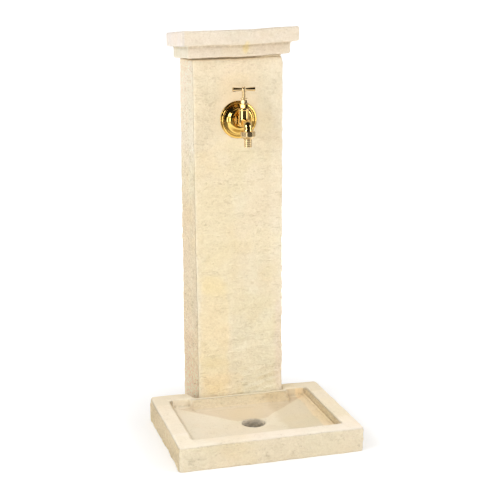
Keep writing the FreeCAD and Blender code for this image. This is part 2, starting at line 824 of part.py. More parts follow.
def make_gland_nut():
    low, roof, high, disc = gland_levels()
    solid = prism(6, gland_flats, low, high, chamfer=0.8)
    neck_foot = Vector(0, 0, high - OVERLAP)
    solid = solid.fuse(Part.makeCylinder(gland_neck_radius, gland_neck_length + OVERLAP, neck_foot))
    plate = Part.makeCylinder(gland_disc_radius, gland_disc_thickness, Vector(0, 0, disc))
    solid = solid.fuse(plate.makeFillet(0.6, [e for e in plate.Edges if e.BoundBox.ZLength < 0.1]))
    solid = solid.cut(Part.makeCylinder(bonnet_neck_radius + fine_clearance, roof - low + OVERLAP,
                                        Vector(0, 0, low - OVERLAP)))
    return on_spindle(solid.cut(Part.makeCylinder(spindle_radius + fine_clearance, disc, Vector(0, 0, low))))


def make_gland_packing():
    roof = gland_levels()[1]
    return on_spindle(ring(bonnet_neck_radius, spindle_radius + fine_clearance, roof - packing_height, roof))


# ---- Spindle, handle and valve ------------------------------------------------------------------------
def make_spindle():
    solid = turned([(0, spindle_foot), (spindle_thread_radius, spindle_foot),
                    (spindle_thread_radius, spindle_thread_top - 1), (spindle_radius, spindle_thread_top),
                    (spindle_radius, spindle_shoulder), (0, spindle_shoulder)])
    half = spindle_square / 2
    top = spindle_shoulder + spindle_square_height
    solid = solid.fuse(box(-half, half, -half, half, spindle_shoulder - OVERLAP, top))
    socket = Part.makeCylinder(jumper_stem_radius + jumper_stem_clearance, spindle_socket_depth + OVERLAP,
                               Vector(0, 0, spindle_foot - OVERLAP))
    tapping = Part.makeCylinder(handle_screw_radius + fine_clearance, handle_screw_length + 4,
                                Vector(0, 0, handle_seat() - handle_screw_length - 1))
    return on_spindle(solid.cut(socket).cut(tapping))


def handle_seat():
    """The flat on the hub that the handle's screw is seated on."""
    return handle_height + handle_hub_radius - 1.1


def make_handle():
    """A T-handle: a ball hub on a short neck, and two arms that widen to domed ends."""
    arm = handle_length / 2 - handle_end_dome
    solid = Part.makeSphere(handle_hub_radius, UP * handle_height)
    solid = solid.fuse(Part.makeCylinder(handle_neck_radius, handle_height - spindle_shoulder,
                                         UP * spindle_shoulder))
    for side in (Vector(1, 0, 0), Vector(-1, 0, 0)):
        cone = lathe(
            (0, 0),
            (handle_arm_root_radius, 0),
            (handle_arm_end_radius, arm),
            ((handle_arm_end_radius * 0.7, arm + handle_end_dome * 0.75),
             (handle_end_flat, arm + handle_end_dome)),
            (0, arm + handle_end_dome),
        )
        solid = solid.fuse(aim(cone, UP * handle_height, side))
    seat = handle_seat()
    solid = solid.cut(box(-10, 10, -10, 10, seat, seat + 5).common(
        Part.makeCylinder(handle_screw_head_radius + 0.3, 5, UP * seat)))
    half = spindle_square / 2 + handle_square_clearance
    square_top = spindle_shoulder + spindle_square_height + 0.3
    solid = solid.cut(box(-half, half, -half, half, spindle_shoulder - OVERLAP, square_top))
    solid = solid.cut(Part.makeCylinder(handle_screw_radius + 0.2, 10, UP * (square_top - OVERLAP)))
    return on_spindle(solid)


def make_handle_screw():
    seat = handle_seat()
    head = Part.makeCylinder(handle_screw_head_radius, handle_screw_head_height, UP * seat)
    head = head.makeFillet(0.7, [e for e in head.Edges if lies_at(e, seat + handle_screw_head_height)])
    slot = handle_screw_slot / 2
    reach = handle_screw_head_radius + OVERLAP
    head = head.cut(box(-slot, slot, -reach, reach, seat + handle_screw_head_height / 2, seat + 5))
    return on_spindle(head.fuse(Part.makeCylinder(handle_screw_radius, handle_screw_length + OVERLAP,
                                                  UP * (seat - handle_screw_length))))


def valve_levels():
    disc_low = seat_top + valve_washer_thickness
    return seat_top, disc_low, disc_low + jumper_disc_thickness


def make_jumper():
    """The loose valve under the spindle: stem, collar, disc, and the pin that carries the washer."""
    washer_low, disc_low, disc_high = valve_levels()
    return on_spindle(turned([
        (0, washer_low - jumper_nut_height), (jumper_pin_radius, washer_low - jumper_nut_height),
        (jumper_pin_radius, disc_low), (jumper_disc_radius, disc_low), (jumper_disc_radius, disc_high),
        (jumper_collar_radius, disc_high), (jumper_collar_radius, spindle_foot),
        (jumper_stem_radius, spindle_foot), (jumper_stem_radius, spindle_foot + jumper_stem_length),
        (0, spindle_foot + jumper_stem_length)]))


def make_valve_washer():
    washer_low, disc_low, _ = valve_levels()
    return on_spindle(ring(valve_washer_radius, jumper_pin_radius + fine_clearance, washer_low, disc_low))


def make_jumper_nut():
    washer_low = valve_levels()[0]
    body = prism(6, jumper_nut_flats, washer_low - jumper_nut_height, washer_low, chamfer=0.4)
    hole = Part.makeCylinder(jumper_pin_radius + fine_clearance, 10, Vector(0, 0, washer_low - 5))
    return on_spindle(body.cut(hole))


# ---- Hose union ---------------------------------------------------------------------------------------
def union_levels():
    """Heights from the nut's top down to the tail's flange."""
    washer_high = outlet_thread_top - outlet_thread_length
    washer_low = washer_high - hose_washer_thickness
    flange_low = washer_low - tail_flange_thickness
    return outlet_thread_top - union_nut_top_gap, washer_high, washer_low, flange_low


def make_union_nut():
    """An eight-sided nut with a conical foot that holds the tail's flange."""
    top, washer_high, _, flange_low = union_levels()
    band_low = top - union_nut_band
    foot = band_low - union_nut_cone_length
    corner = union_nut_flats / 2 / math.cos(math.pi / union_nut_sides)
    body = prism(union_nut_sides, union_nut_flats, foot, top)
    turned_off = turned([(0, foot), (union_nut_cone_radius, foot), (corner, band_low), (corner, top - 0.7),
                         (corner - 1.2, top), (0, top)])
    body = body.common(turned_off)
    thread = Part.makeCylinder(outlet_thread_radius + union_clearance, top - washer_high + OVERLAP,
                               UP * washer_high)
    cavity = Part.makeCylinder(tail_flange_radius + union_flange_clearance, washer_high - flange_low + OVERLAP,
                               UP * flange_low)
    lip = Part.makeCylinder(tail_neck_radius + tail_neck_clearance, 20, UP * (foot - OVERLAP))
    return on_spout(body.cut(thread).cut(cavity).cut(lip))


def make_hose_washer():
    _, washer_high, washer_low, _ = union_levels()
    return on_spout(ring(hose_washer_radius, tail_bore_radius, washer_low, washer_high))


def make_hose_tail():
    """The barbed tail: a flange in the nut, a plain neck, and barbs that widen towards the tap."""
    _, _, washer_low, flange_low = union_levels()
    neck_low = flange_low - tail_neck_length
    profile = [(tail_bore_radius, washer_low), (tail_flange_radius, washer_low), (tail_flange_radius, flange_low),
               (tail_neck_radius, flange_low), (tail_neck_radius, neck_low)]
    for n in range(tail_barbs):
        barb_top = neck_low - n * tail_barb_pitch
        last = n == tail_barbs - 1
        profile += [(tail_barb_root, barb_top), (tail_barb_root, barb_top - 0.8),
                    (tail_barb_crest, barb_top - 1.1), (tail_barb_crest, barb_top - 1.5)]
        profile.append((tail_end_radius if last else tail_barb_root, barb_top - tail_barb_pitch))
    profile.append((tail_bore_radius, neck_low - tail_barbs * tail_barb_pitch))
    cleaned = [p for n, p in enumerate(profile) if n == 0 or p != profile[n - 1]]
    return on_spout(turned(cleaned))


# ---- Everything ---------------------------------------------------------------------------------------
def main():
    os.makedirs("parts", exist_ok=True)
    save("column", make_column())
    save("mortar_bed", make_mortar_bed())
    save("cap", make_cap())
    save("tray", make_tray())

    save("wall_elbow", make_wall_elbow())
    save("riser_pipe", make_riser_pipe())
    save("inlet_fitting", make_inlet_fitting())
    for name, (shoulder, direction) in zip(("elbow", "inlet"), compression_joint_places()):
        save(f"{name}_compression_nut", aim(compression_nut(), shoulder, direction))
        save(f"{name}_olive", aim(olive(), shoulder, direction))
    plate, clips = wall_fixings()
    save("elbow_screws", *[screw_into_wall(p, plate_thickness) for p in plate])
    save("elbow_plugs", *[plug_in_wall(p) for p in plate])
    save("pipe_clips", *[make_clip(z) for z in clip_heights])
    save("clip_screws", *[screw_into_wall(p, clip_head_stand()) for p in clips])
    save("clip_plugs", *[plug_in_wall(p) for p in clips])

    save("tap_extension", make_extension())
    save("rosette", make_rosette())
    save("tap_body", make_tap_body())
    save("bonnet_washer", make_bonnet_washer())
    save("bonnet", make_bonnet())
    save("gland_packing", make_gland_packing())
    save("gland_nut", make_gland_nut())

    save("spindle", make_spindle())
    save("t_handle", make_handle())
    save("handle_screw", make_handle_screw())
    save("jumper", make_jumper())
    save("valve_washer", make_valve_washer())
    save("jumper_nut", make_jumper_nut())

    save("union_nut", make_union_nut())
    save("hose_washer", make_hose_washer())
    save("hose_tail", make_hose_tail())


main()
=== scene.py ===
import math

import bmesh
import bpy
import numpy as np
from mathutils import Matrix, Vector


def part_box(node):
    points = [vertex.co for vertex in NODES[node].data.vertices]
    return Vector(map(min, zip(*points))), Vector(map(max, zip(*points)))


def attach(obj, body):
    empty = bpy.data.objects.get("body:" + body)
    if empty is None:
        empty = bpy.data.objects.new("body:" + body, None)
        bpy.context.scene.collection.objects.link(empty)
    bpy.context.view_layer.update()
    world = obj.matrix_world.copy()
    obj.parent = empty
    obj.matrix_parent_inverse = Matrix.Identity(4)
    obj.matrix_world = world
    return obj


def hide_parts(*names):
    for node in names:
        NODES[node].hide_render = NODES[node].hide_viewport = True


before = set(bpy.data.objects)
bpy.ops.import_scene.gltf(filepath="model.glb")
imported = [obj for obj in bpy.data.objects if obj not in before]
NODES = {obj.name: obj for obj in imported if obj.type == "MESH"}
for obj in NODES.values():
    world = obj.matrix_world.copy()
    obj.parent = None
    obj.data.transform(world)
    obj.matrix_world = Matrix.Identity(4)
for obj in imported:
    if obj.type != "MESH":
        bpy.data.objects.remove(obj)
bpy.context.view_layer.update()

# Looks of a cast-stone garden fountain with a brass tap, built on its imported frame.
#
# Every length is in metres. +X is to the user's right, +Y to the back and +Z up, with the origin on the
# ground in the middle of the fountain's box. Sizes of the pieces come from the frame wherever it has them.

MM = 0.001
TURN = 2 * math.pi
ROOT = "fountain"


def low(node):
    return Vector(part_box(node)[0])


def high(node):
    return Vector(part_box(node)[1])


def foot_and_top(node):
    return low(node).z, high(node).z


COLUMN_FRONT = low("column").y
COLUMN_TOP = high("column").z
ROSETTE_CENTRE = (low("rosette") + high("rosette")) / 2
TAP_HEIGHT = ROSETTE_CENTRE.z
SPINDLE_Y = (low("spindle").y + high("spindle").y) / 2
SPOUT_Y = (low("union_nut").y + high("union_nut").y) / 2


# ---- Numbers over a surface ---------------------------------------------------------------------------
def lattice_noise(points, seed):
    """Smooth value noise, from -1 to 1, with one bump for each unit of length."""
    cell = np.floor(points).astype(np.int64)
    f = points - cell
    u = f * f * f * (f * (f * 6 - 15) + 10)

    def corner(dx, dy, dz):
        n = (cell[:, 0] + dx) * 73856093 ^ (cell[:, 1] + dy) * 19349663 ^ (cell[:, 2] + dz) * 83492791
        n = (n ^ (seed * 668265263)) & 0x7FFFFFFF
        n = ((n ^ (n >> 13)) * 1274126177) & 0x7FFFFFFF
        n = ((n ^ (n >> 16)) * 461845907) & 0x7FFFFFFF
        return n / float(0x3FFFFFFF) - 1.0

    def along(a, b, t):
        return a + (b - a) * t

    x = [along(corner(0, j, k), corner(1, j, k), u[:, 0]) for k in (0, 1) for j in (0, 1)]
    y = [along(x[0], x[1], u[:, 1]), along(x[2], x[3], u[:, 1])]
    return along(y[0], y[1], u[:, 2])


def layered_noise(points, size, seed, layers=3):
    """Noise whose largest bumps are size metres across (one size, or one for each axis)."""
    total, weight, reach, scale = 0.0, 1.0, 0.0, 1.0 / np.array(size)
    for layer in range(layers):
        total = total + weight * lattice_noise(points * scale, seed + 17 * layer)
        reach += weight
        weight *= 0.5
        scale = scale * 2.03
    return total / reach


def smooth_step(x, lo, hi):
    t = np.clip((x - lo) / (hi - lo), 0.0, 1.0)
    return t * t * (3 - 2 * t)


# ---- Meshes -------------------------------------------------------------------------------------------
def linked(name, data):
    """A new object in the scene."""
    made = bpy.data.objects.new(name, data)
    bpy.context.scene.collection.objects.link(made)
    return made


def new_piece(name, mesh, sharp):
    """An object for a finished mesh, smooth except at edges sharper than the angle."""
    mesh.name = name
    mesh.shade_smooth()
    if sharp < 180:
        mesh.set_sharp_from_angle(angle=math.radians(sharp))
    return linked(name, mesh)


def mesh_from(vertices, faces):
    mesh = bpy.data.meshes.new("part")
    mesh.from_pydata([tuple(v) for v in vertices], [], faces)
    mesh.update()
    return mesh


def merged_copy(node):
    """The node's mesh with its loose triangles joined."""
    work = bmesh.new()
    work.from_mesh(NODES[node].data)
    bmesh.ops.remove_doubles(work, verts=work.verts, dist=2e-6)
    mesh = bpy.data.meshes.new(node)
    work.to_mesh(mesh)
    work.free()
    return mesh


def evaluated(mesh, prepare):
    """The mesh after the modifiers that prepare(object) adds."""
    piece = linked("work", mesh)
    prepare(piece)
    graph = bpy.context.evaluated_depsgraph_get()
    result = bpy.data.meshes.new_from_object(piece.evaluated_get(graph), depsgraph=graph)
    bpy.data.objects.remove(piece)
    return result


def remeshed(mesh, cell):
    def prepare(piece):
        remesh = piece.modifiers.new("Even cells", "REMESH")
        remesh.mode = "VOXEL"
        remesh.voxel_size = cell

    return evaluated(mesh, prepare)


def places(mesh):
    co = np.empty(len(mesh.vertices) * 3)
    mesh.vertices.foreach_get("co", co)
    return co.reshape(-1, 3)


def set_places(mesh, co):
    mesh.vertices.foreach_set("co", np.ascontiguousarray(co, dtype=np.float64).ravel())
    mesh.update()


def outward(mesh):
    normals = np.empty(len(mesh.vertices) * 3)
    mesh.vertex_normals.foreach_get("vector", normals)
    return normals.reshape(-1, 3)


def relaxed(mesh, co, rounds, pull=0.5, push=0.0):
    """Places moved towards their neighbours, and back out a little where push is given."""
    edges = np.empty(len(mesh.edges) * 2, dtype=np.int32)
    mesh.edges.foreach_get("vertices", edges)
    a, b = edges.reshape(-1, 2).T
    count = len(co)
    degree = np.maximum(np.bincount(a, minlength=count) + np.bincount(b, minlength=count), 1)[:, None]
    steps = [pull, -push] if push else [pull]
    for _ in range(rounds):
        for step in steps:
            near = [np.bincount(a, co[b, k], count) + np.bincount(b, co[a, k], count) for k in range(3)]
            co = co + step * (np.stack(near, axis=1) / degree - co)
    return co


def joined(*meshes):
    work = bmesh.new()
    for mesh in meshes:
        work.from_mesh(mesh)
    result = bpy.data.meshes.new("joined")
    work.to_mesh(result)
    work.free()
    return result


def moved(mesh, where=(0, 0, 0), along=(0, 0, 1)):
    """Turns a mesh made along +Z to lie along a direction, and moves it."""
    turn = Vector((0, 0, 1)).rotation_difference(Vector(along)).to_matrix().to_4x4()
    mesh.transform(Matrix.Translation(Vector(where)) @ turn)
    return mesh


def softened(profile, radius, closed=True, steps=4):
    """Profile corners (r, h) eased by a small radius."""
    least, most = 1e-9, 0.45  # the shortest side, and the share of a side that a bend may take
    points = [Vector(p) for p in profile]
    count = len(points)
    eased = []
    for n, corner in enumerate(points):
        before, after = points[n - 1], points[(n + 1) % count]
        ends = not closed and n in (0, count - 1)
        shorter = min((corner - before).length, (after - corner).length)
        if ends or shorter < least:
            eased.append(corner)
            continue
        reach = min(radius, most * shorter)
        a = corner + (before - corner).normalized() * reach
        b = corner + (after - corner).normalized() * reach
        for k in range(steps + 1):
            t = k / steps
            eased.append(a * (1 - t) ** 2 + corner * 2 * t * (1 - t) + b * t * t)
    return [(p.x, p.y) for p in eased]


def rings_mesh(rings, closed, poles=(None, None)):
    """Skins rings of equal count; a pole closes an end of an open stack."""
    count = len(rings[0])
    vertices = [v for ring in rings for v in ring]
    faces = []
    pairs = [(n, n + 1) for n in range(len(rings) - 1)] + ([(len(rings) - 1, 0)] if closed else [])
    for a, b in pairs:
        for k in range(count):
            m = (k + 1) % count
            faces.append((a * count + k, a * count + m, b * count + m, b * count + k))
    for pole, ring, turn in ((poles[0], 0, -1), (poles[1], len(rings) - 1, 1)):
        if pole is not None:
            vertices.append(pole)
            tip = len(vertices) - 1
            for k in range(count):
                m = (k + 1) % count
                corner = (ring * count + k, ring * count + m, tip)
                faces.append(corner if turn > 0 else corner[::-1])
    mesh = mesh_from(vertices, faces)
    work = bmesh.new()
    work.from_mesh(mesh)
    bmesh.ops.recalc_face_normals(work, faces=work.faces)
    work.to_mesh(mesh)
    work.free()
    return mesh


def even_angles(count):
    return [TURN * k / count for k in range(count)]


def ring_at(height, radius, angles):
    """A level ring about the axis. The radius is a number, or a function of the angle."""
    reach = [radius(a) if callable(radius) else radius for a in angles]
    return [(r * math.cos(a), r * math.sin(a), height) for r, a in zip(reach, angles)]


def turned_piece(profile, segments=96, ease=0.0):
    """A lathe-turned mesh about +Z from a closed profile; corners on the axis make poles."""
    on_axis = abs(profile[0][0]) < 1e-9 and abs(profile[-1][0]) < 1e-9
    if ease:
        profile = softened(profile, ease, closed=not on_axis)
    angles = even_angles(segments)
    if on_axis:
        poles = ((0, 0, profile[0][1]), (0, 0, profile[-1][1]))
        return rings_mesh([ring_at(h, r, angles) for r, h in profile[1:-1]], False, poles)
    return rings_mesh([ring_at(h, r, angles) for r, h in profile], True)


CORNER_EASE = 0.08 * MM  # how softly a nut's flats meet
TAN_30 = 0.577  # the rise of a nut's turned-off cone


def soft_least(a, b, ease=CORNER_EASE):
    """The lesser of two radii, eased where they meet."""
    return -ease * math.log(math.exp(-a / ease) + math.exp(-b / ease))


def flat_radius(sides, flats, corner_cut):
    """The radius of a nut's side at an angle, with its corners cut back to a share of their reach."""
    part = math.pi / sides
    corner = flats / 2 / math.cos(part)

    def radius(angle):
        away = (angle + part) % (2 * part) - part
        return soft_least(flats / 2 / math.cos(away), corner * corner_cut)

    return corner, radius


def flat_sided(sides, flats, bottom, top, bore, face):
    """A nut's mesh: flat sides, both ends turned off to a round face of radius face, and a bore."""
    corner, side = flat_radius(sides, flats, 0.985)
    angles = even_angles(sides * 24)
    zone = max((corner - face) * TAN_30, 1e-5)
    heights = [bottom + zone * k / 8 for k in range(9)] + [top - zone * k / 8 for k in range(8, -1, -1)]
    rings = [ring_at(bottom, bore, angles)]
    for h in heights:
        limit = face + min(h - bottom, top - h) / TAN_30
        rings.append(ring_at(h, lambda a: soft_least(side(a), limit), angles))
    rings.append(ring_at(top, bore, angles))
    return rings_mesh(rings, True)


# ---- Geometry Nodes: what repeats or follows a rule ---------------------------------------------------
FLOAT = "NodeSocketFloat"


def add(tree, kind, inputs=None, **settings):
    """A node with its settings, its inputs linked or set."""
    node = tree.nodes.new(kind)
    for key, value in settings.items():
        setattr(node, key, value)
    for key, value in (inputs or {}).items():
        if isinstance(value, bpy.types.NodeSocket):
            tree.links.new(value, node.inputs[key])
        else:
            node.inputs[key].default_value = value
    return node


def new_tree(name, sizes):
    tree = bpy.data.node_groups.new(name, "GeometryNodeTree")
    tree.interface.new_socket("Geometry", in_out="INPUT", socket_type="NodeSocketGeometry")
    for label, kind in sizes:
        tree.interface.new_socket(label, in_out="INPUT", socket_type=kind)
    tree.interface.new_socket("Geometry", in_out="OUTPUT", socket_type="NodeSocketGeometry")
    return tree, tree.nodes.new("NodeGroupInput"), tree.nodes.new("NodeGroupOutput")


def grown(tree, mesh, sizes):
    """The plain mesh that a tree makes from a starting mesh and its named sizes."""

    def prepare(piece):
        modifier = piece.modifiers.new("Grow", "NODES")
        modifier.node_group = tree
        for item in tree.interface.items_tree:
            if item.item_type == "SOCKET" and item.in_out == "INPUT" and item.name in sizes:
                modifier[item.identifier] = sizes[item.name]

    return evaluated(mesh, prepare)


def dressed_end(tree, given, out, shape):
    """Ends a tree: instances made real, and the finish put on."""
    real = add(tree, "GeometryNodeRealizeInstances", {"Geometry": shape.outputs[0]})
    dressed = add(tree, "GeometryNodeSetMaterial", {
        "Geometry": real.outputs[0], "Material": given.outputs["Finish"]})
    tree.links.new(dressed.outputs[0], out.inputs[0])
    return tree


def thread_tree():
    """A helical ridge of a right-hand thread, from its root radius, pitch and number of turns."""
    floats = [(n, FLOAT) for n in ("Root Radius", "Pitch", "Turns", "Ridge")]
    tree, given, out = new_tree("Screw Thread", floats + [("Finish", "NodeSocketMaterial")])
    root, pitch, turns, ridge = (given.outputs[n] for n, _ in floats)
    height = add(tree, "ShaderNodeMath", {0: pitch, 1: turns}, operation="MULTIPLY")
    helix = add(tree, "GeometryNodeCurveSpiral", {
        "Resolution": 48, "Rotations": turns, "Start Radius": root, "End Radius": root,
        "Height": height.outputs[0]})
    section = add(tree, "GeometryNodeCurvePrimitiveCircle", {"Resolution": 6, "Radius": ridge})
    swept = add(tree, "GeometryNodeCurveToMesh", {
        "Curve": helix.outputs[0], "Profile Curve": section.outputs["Curve"], "Fill Caps": True})
    return dressed_end(tree, given, out, swept)


def row_tree():
    """Copies of a piece in a row, an even step apart."""
    sizes = [("Piece", "NodeSocketObject"), ("Count", "NodeSocketInt"), ("Step", "NodeSocketVector"),
             ("Finish", "NodeSocketMaterial")]
    tree, given, out = new_tree("Row Of Copies", sizes)
    piece = add(tree, "GeometryNodeObjectInfo", {"Object": given.outputs["Piece"]})
    points = add(tree, "GeometryNodeMeshLine", {
        "Count": given.outputs["Count"], "Offset": given.outputs["Step"]})
    placed = add(tree, "GeometryNodeInstanceOnPoints", {
        "Points": points.outputs["Mesh"], "Instance": piece.outputs["Geometry"]})
    return dressed_end(tree, given, out, placed)


def screws_tree():
    """One screw set at each point, facing the back, each turned by up to MOST_SPIN radians."""
    sizes = [("Screw", "NodeSocketObject"), ("Seed", "NodeSocketInt"), ("Finish", "NodeSocketMaterial")]
    tree, given, out = new_tree("Screws On Points", sizes)
    screw = add(tree, "GeometryNodeObjectInfo", {"Object": given.outputs["Screw"]})
    spin = add(tree, "FunctionNodeRandomValue", {"Seed": given.outputs["Seed"]}, data_type="FLOAT")
    least, most = spin.inputs[2], spin.inputs[3]
    least.default_value, most.default_value = 0.0, MOST_SPIN
    turn = add(tree, "ShaderNodeCombineXYZ", {"X": -math.pi / 2, "Y": spin.outputs[1]})
    placed = add(tree, "GeometryNodeInstanceOnPoints", {
        "Points": given.outputs["Geometry"], "Instance": screw.outputs["Geometry"],
        "Rotation": turn.outputs[0]})
    return dressed_end(tree, given, out, placed)


MOST_SPIN = 1.5


# ---- Finishes -----------------------------------------------------------------------------------------
def group(name, inputs, outputs):
    """A shader group with named numbers going in, each with its usual value, and coming out."""
    tree = bpy.data.node_groups.new(name, "ShaderNodeTree")
    for label, value in inputs.items():
        tree.interface.new_socket(label, in_out="INPUT", socket_type=FLOAT).default_value = value
    for label in outputs:
        tree.interface.new_socket(label, in_out="OUTPUT", socket_type=FLOAT)
    return tree, tree.nodes.new("NodeGroupInput"), tree.nodes.new("NodeGroupOutput")


def math_node(tree, operation, a, b=0.5):
    return add(tree, "ShaderNodeMath", {0: a, 1: b}, operation=operation).outputs[0]


def ranged(tree, value, lo, hi, to_lo=0.0, to_hi=1.0, kind="SMOOTHSTEP"):
    ends = {"Value": value, "From Min": lo, "From Max": hi, "To Min": to_lo, "To Max": to_hi}
    return add(tree, "ShaderNodeMapRange", ends, interpolation_type=kind).outputs["Result"]


def blended(tree, factor, a, b, blend="MIX"):
    mix = tree.nodes.new("ShaderNodeMix")
    mix.data_type = "RGBA"
    mix.blend_type = blend
    for socket, value in ((mix.inputs["Factor"], factor), (mix.inputs[6], a), (mix.inputs[7], b)):
        if isinstance(value, bpy.types.NodeSocket):
            tree.links.new(value, socket)
        else:
            socket.default_value = value
    return mix.outputs[2]


def noise(tree, vector, scale, detail=4.0, roughness=0.6, distortion=0.0, out=0):
    """Noise as a value, or as a colour where out is 1."""
    return add(tree, "ShaderNodeTexNoise", {
        "Vector": vector, "Scale": scale, "Detail": detail, "Roughness": roughness,
        "Distortion": distortion}).outputs[out]


def product(tree, first, *others):
    for other in others:
        first = math_node(tree, "MULTIPLY", first, other)
    return first


def total(tree, *shares):
    """The sum of values, each times its weight."""
    parts = [math_node(tree, "MULTIPLY", value, weight) for value, weight in shares]
    for part in parts[1:]:
        parts[0] = math_node(tree, "ADD", parts[0], part)
    return parts[0]


def coordinates(tree, scale=(1, 1, 1)):
    place = tree.nodes.new("ShaderNodeTexCoord")
    return add(tree, "ShaderNodeMapping", {
        "Vector": place.outputs["Object"], "Scale": scale}).outputs["Vector"]


def stored(tree, name, out="Fac"):
    """What the mesh holds under a name."""
    return add(tree, "ShaderNodeAttribute", attribute_name=name).outputs[out]


def put_out(tree, out, **values):
    for label, value in values.items():
        tree.links.new(value, out.inputs[label.replace("_", " ")])
    return tree


def stone_grain_group():
    """Sand grain, small pits and short level wisps. Rough scales them all."""
    tree, given, out = group("Stone Grain", {"Rough": 1.0, "Pits": 0.5, "Wisps": 0.6},
                             ("Speckle", "Pit Mask", "Wisp Mask", "Height"))
    here = coordinates(tree)
    level = coordinates(tree, (1, 1, 3.6))
    grain = noise(tree, here, 240.0, 4.0, 0.7)
    lumps = noise(tree, here, 105.0, 5.0, 0.62)
    where = noise(tree, here, 47.0)
    ragged = noise(tree, here, 300.0, 3.0, 0.5, out=1)
    reach = (7 * MM, 7 * MM, 7 * MM)
    bent = add(tree, "ShaderNodeVectorMath", {0: ragged, 1: reach, 2: here},
               operation="MULTIPLY_ADD").outputs[0]
    pits = []
    for scale, lo, hi in ((112.0, 0.5, 0.58), (205.0, 0.44, 0.56)):
        cells = add(tree, "ShaderNodeTexVoronoi", {"Vector": bent, "Scale": scale}).outputs["Distance"]
        pits.append(product(tree, ranged(tree, cells, 0.27, 0.12), ranged(tree, where, lo, hi)))
    pit = product(tree, math_node(tree, "MAXIMUM", *pits), given.outputs["Pits"])
    wisps = noise(tree, level, 105.0, 5.0, 0.6, 0.6)
    broken = ranged(tree, noise(tree, level, 17.0), 0.4, 0.62)
    dark = product(tree, ranged(tree, wisps, 0.45, 0.33), given.outputs["Wisps"], broken)
    light = product(tree, ranged(tree, wisps, 0.58, 0.7), given.outputs["Wisps"])
    speckle = total(tree, (grain, 0.85), (lumps, 0.45), (light, 0.18), (dark, -0.17))
    height = total(tree, (grain, 0.85), (lumps, 0.5), (wisps, 0.52), (pit, -0.55), (dark, -0.22))
    return put_out(tree, out, Speckle=speckle, Pit_Mask=pit, Wisp_Mask=dark,
                   Height=product(tree, height, given.outputs["Rough"]))


def worn_edge_group():
    """Worn edges, and painted shade in the corners and creases, both stored on the mesh and broken up by
    noise.
    """
    tree, given, out = group("Edges And Corners", {"Amount": 1.0}, ("Worn", "Dirt"))
    breaks = noise(tree, coordinates(tree), 130.0, 5.0, 0.65)
    worn, corner_shade = (product(tree, stored(tree, name), ranged(tree, breaks, lo, 0.6), given.outputs["Amount"])
                  for name, lo in (("wear", 0.38), ("crease_shading", 0.28)))
    return put_out(tree, out, Worn=worn, Dirt=corner_shade)


def metal_marks_group():
    """Finger marks, tiny scratches and dull spots on metal."""
    tree, given, out = group("Metal Marks", {"Shine": 0.1, "Dullest": 0.35, "Marks": 0.5, "Turning": 0.0},
                             ("Roughness", "Dull Mask", "Height"))
    here = coordinates(tree)
    smears = noise(tree, here, 160.0)
    spots = noise(tree, here, 620.0, 3.0, 0.7)
    tool = noise(tree, coordinates(tree, (60, 60, 2600)), 1.0, 2.0, 0.5)
    dull = total(tree, (ranged(tree, smears, 0.42, 0.72), given.outputs["Marks"]),
                 (ranged(tree, spots, 0.56, 0.75), 0.25))
    mixed = add(tree, "ShaderNodeMix", {
        "Factor": dull, 2: given.outputs["Shine"], 3: given.outputs["Dullest"]}, data_type="FLOAT").outputs[0]
    return put_out(tree, out, Roughness=mixed, Dull_Mask=dull,
                   Height=total(tree, (spots, 0.25), (tool, given.outputs["Turning"])))


SCRATCH_DEPTH = 0.02 * MM
GRAIN, EDGES, MARKS = stone_grain_group(), worn_edge_group(), metal_marks_group()


def new_finish(name):
    finish = bpy.data.materials.new(name)
    finish.use_nodes = True
    tree = finish.node_tree
    tree.nodes.clear()
    shader = tree.nodes.new("ShaderNodeBsdfPrincipled")
    out = tree.nodes.new("ShaderNodeOutputMaterial")
    tree.links.new(shader.outputs[0], out.inputs["Surface"])
    return finish, tree, shader


def placed_group(tree, which, **values):
    node = add(tree, "ShaderNodeGroup", node_tree=which)
    for key, value in values.items():
        node.inputs[key.replace("_", " ")].default_value = value
    return node


def bumped(tree, shader, height, distance):
    bump = add(tree, "ShaderNodeBump", {"Height": height, "Distance": distance, "Strength": 1.0})
    tree.links.new(bump.outputs["Normal"], shader.inputs["Normal"])


MIDDLE_SPECKLE = 0.63
WARM_SWING = (0.82, 1.0, 1.38)  # how far the speckle moves red, green and blue
# Wisps are marks in the stone and worn edges are paler; the pit and corner browns are painted shade in the
# hollows.
WISP_BROWN, PIT_SHADE_BROWN = (0.56, 0.42, 0.26, 1), (0.4, 0.29, 0.17, 1)
CREASE_SHADE_BROWN, WORN_CREAM = (0.4, 0.29, 0.16, 1), (0.95, 0.87, 0.72, 1)


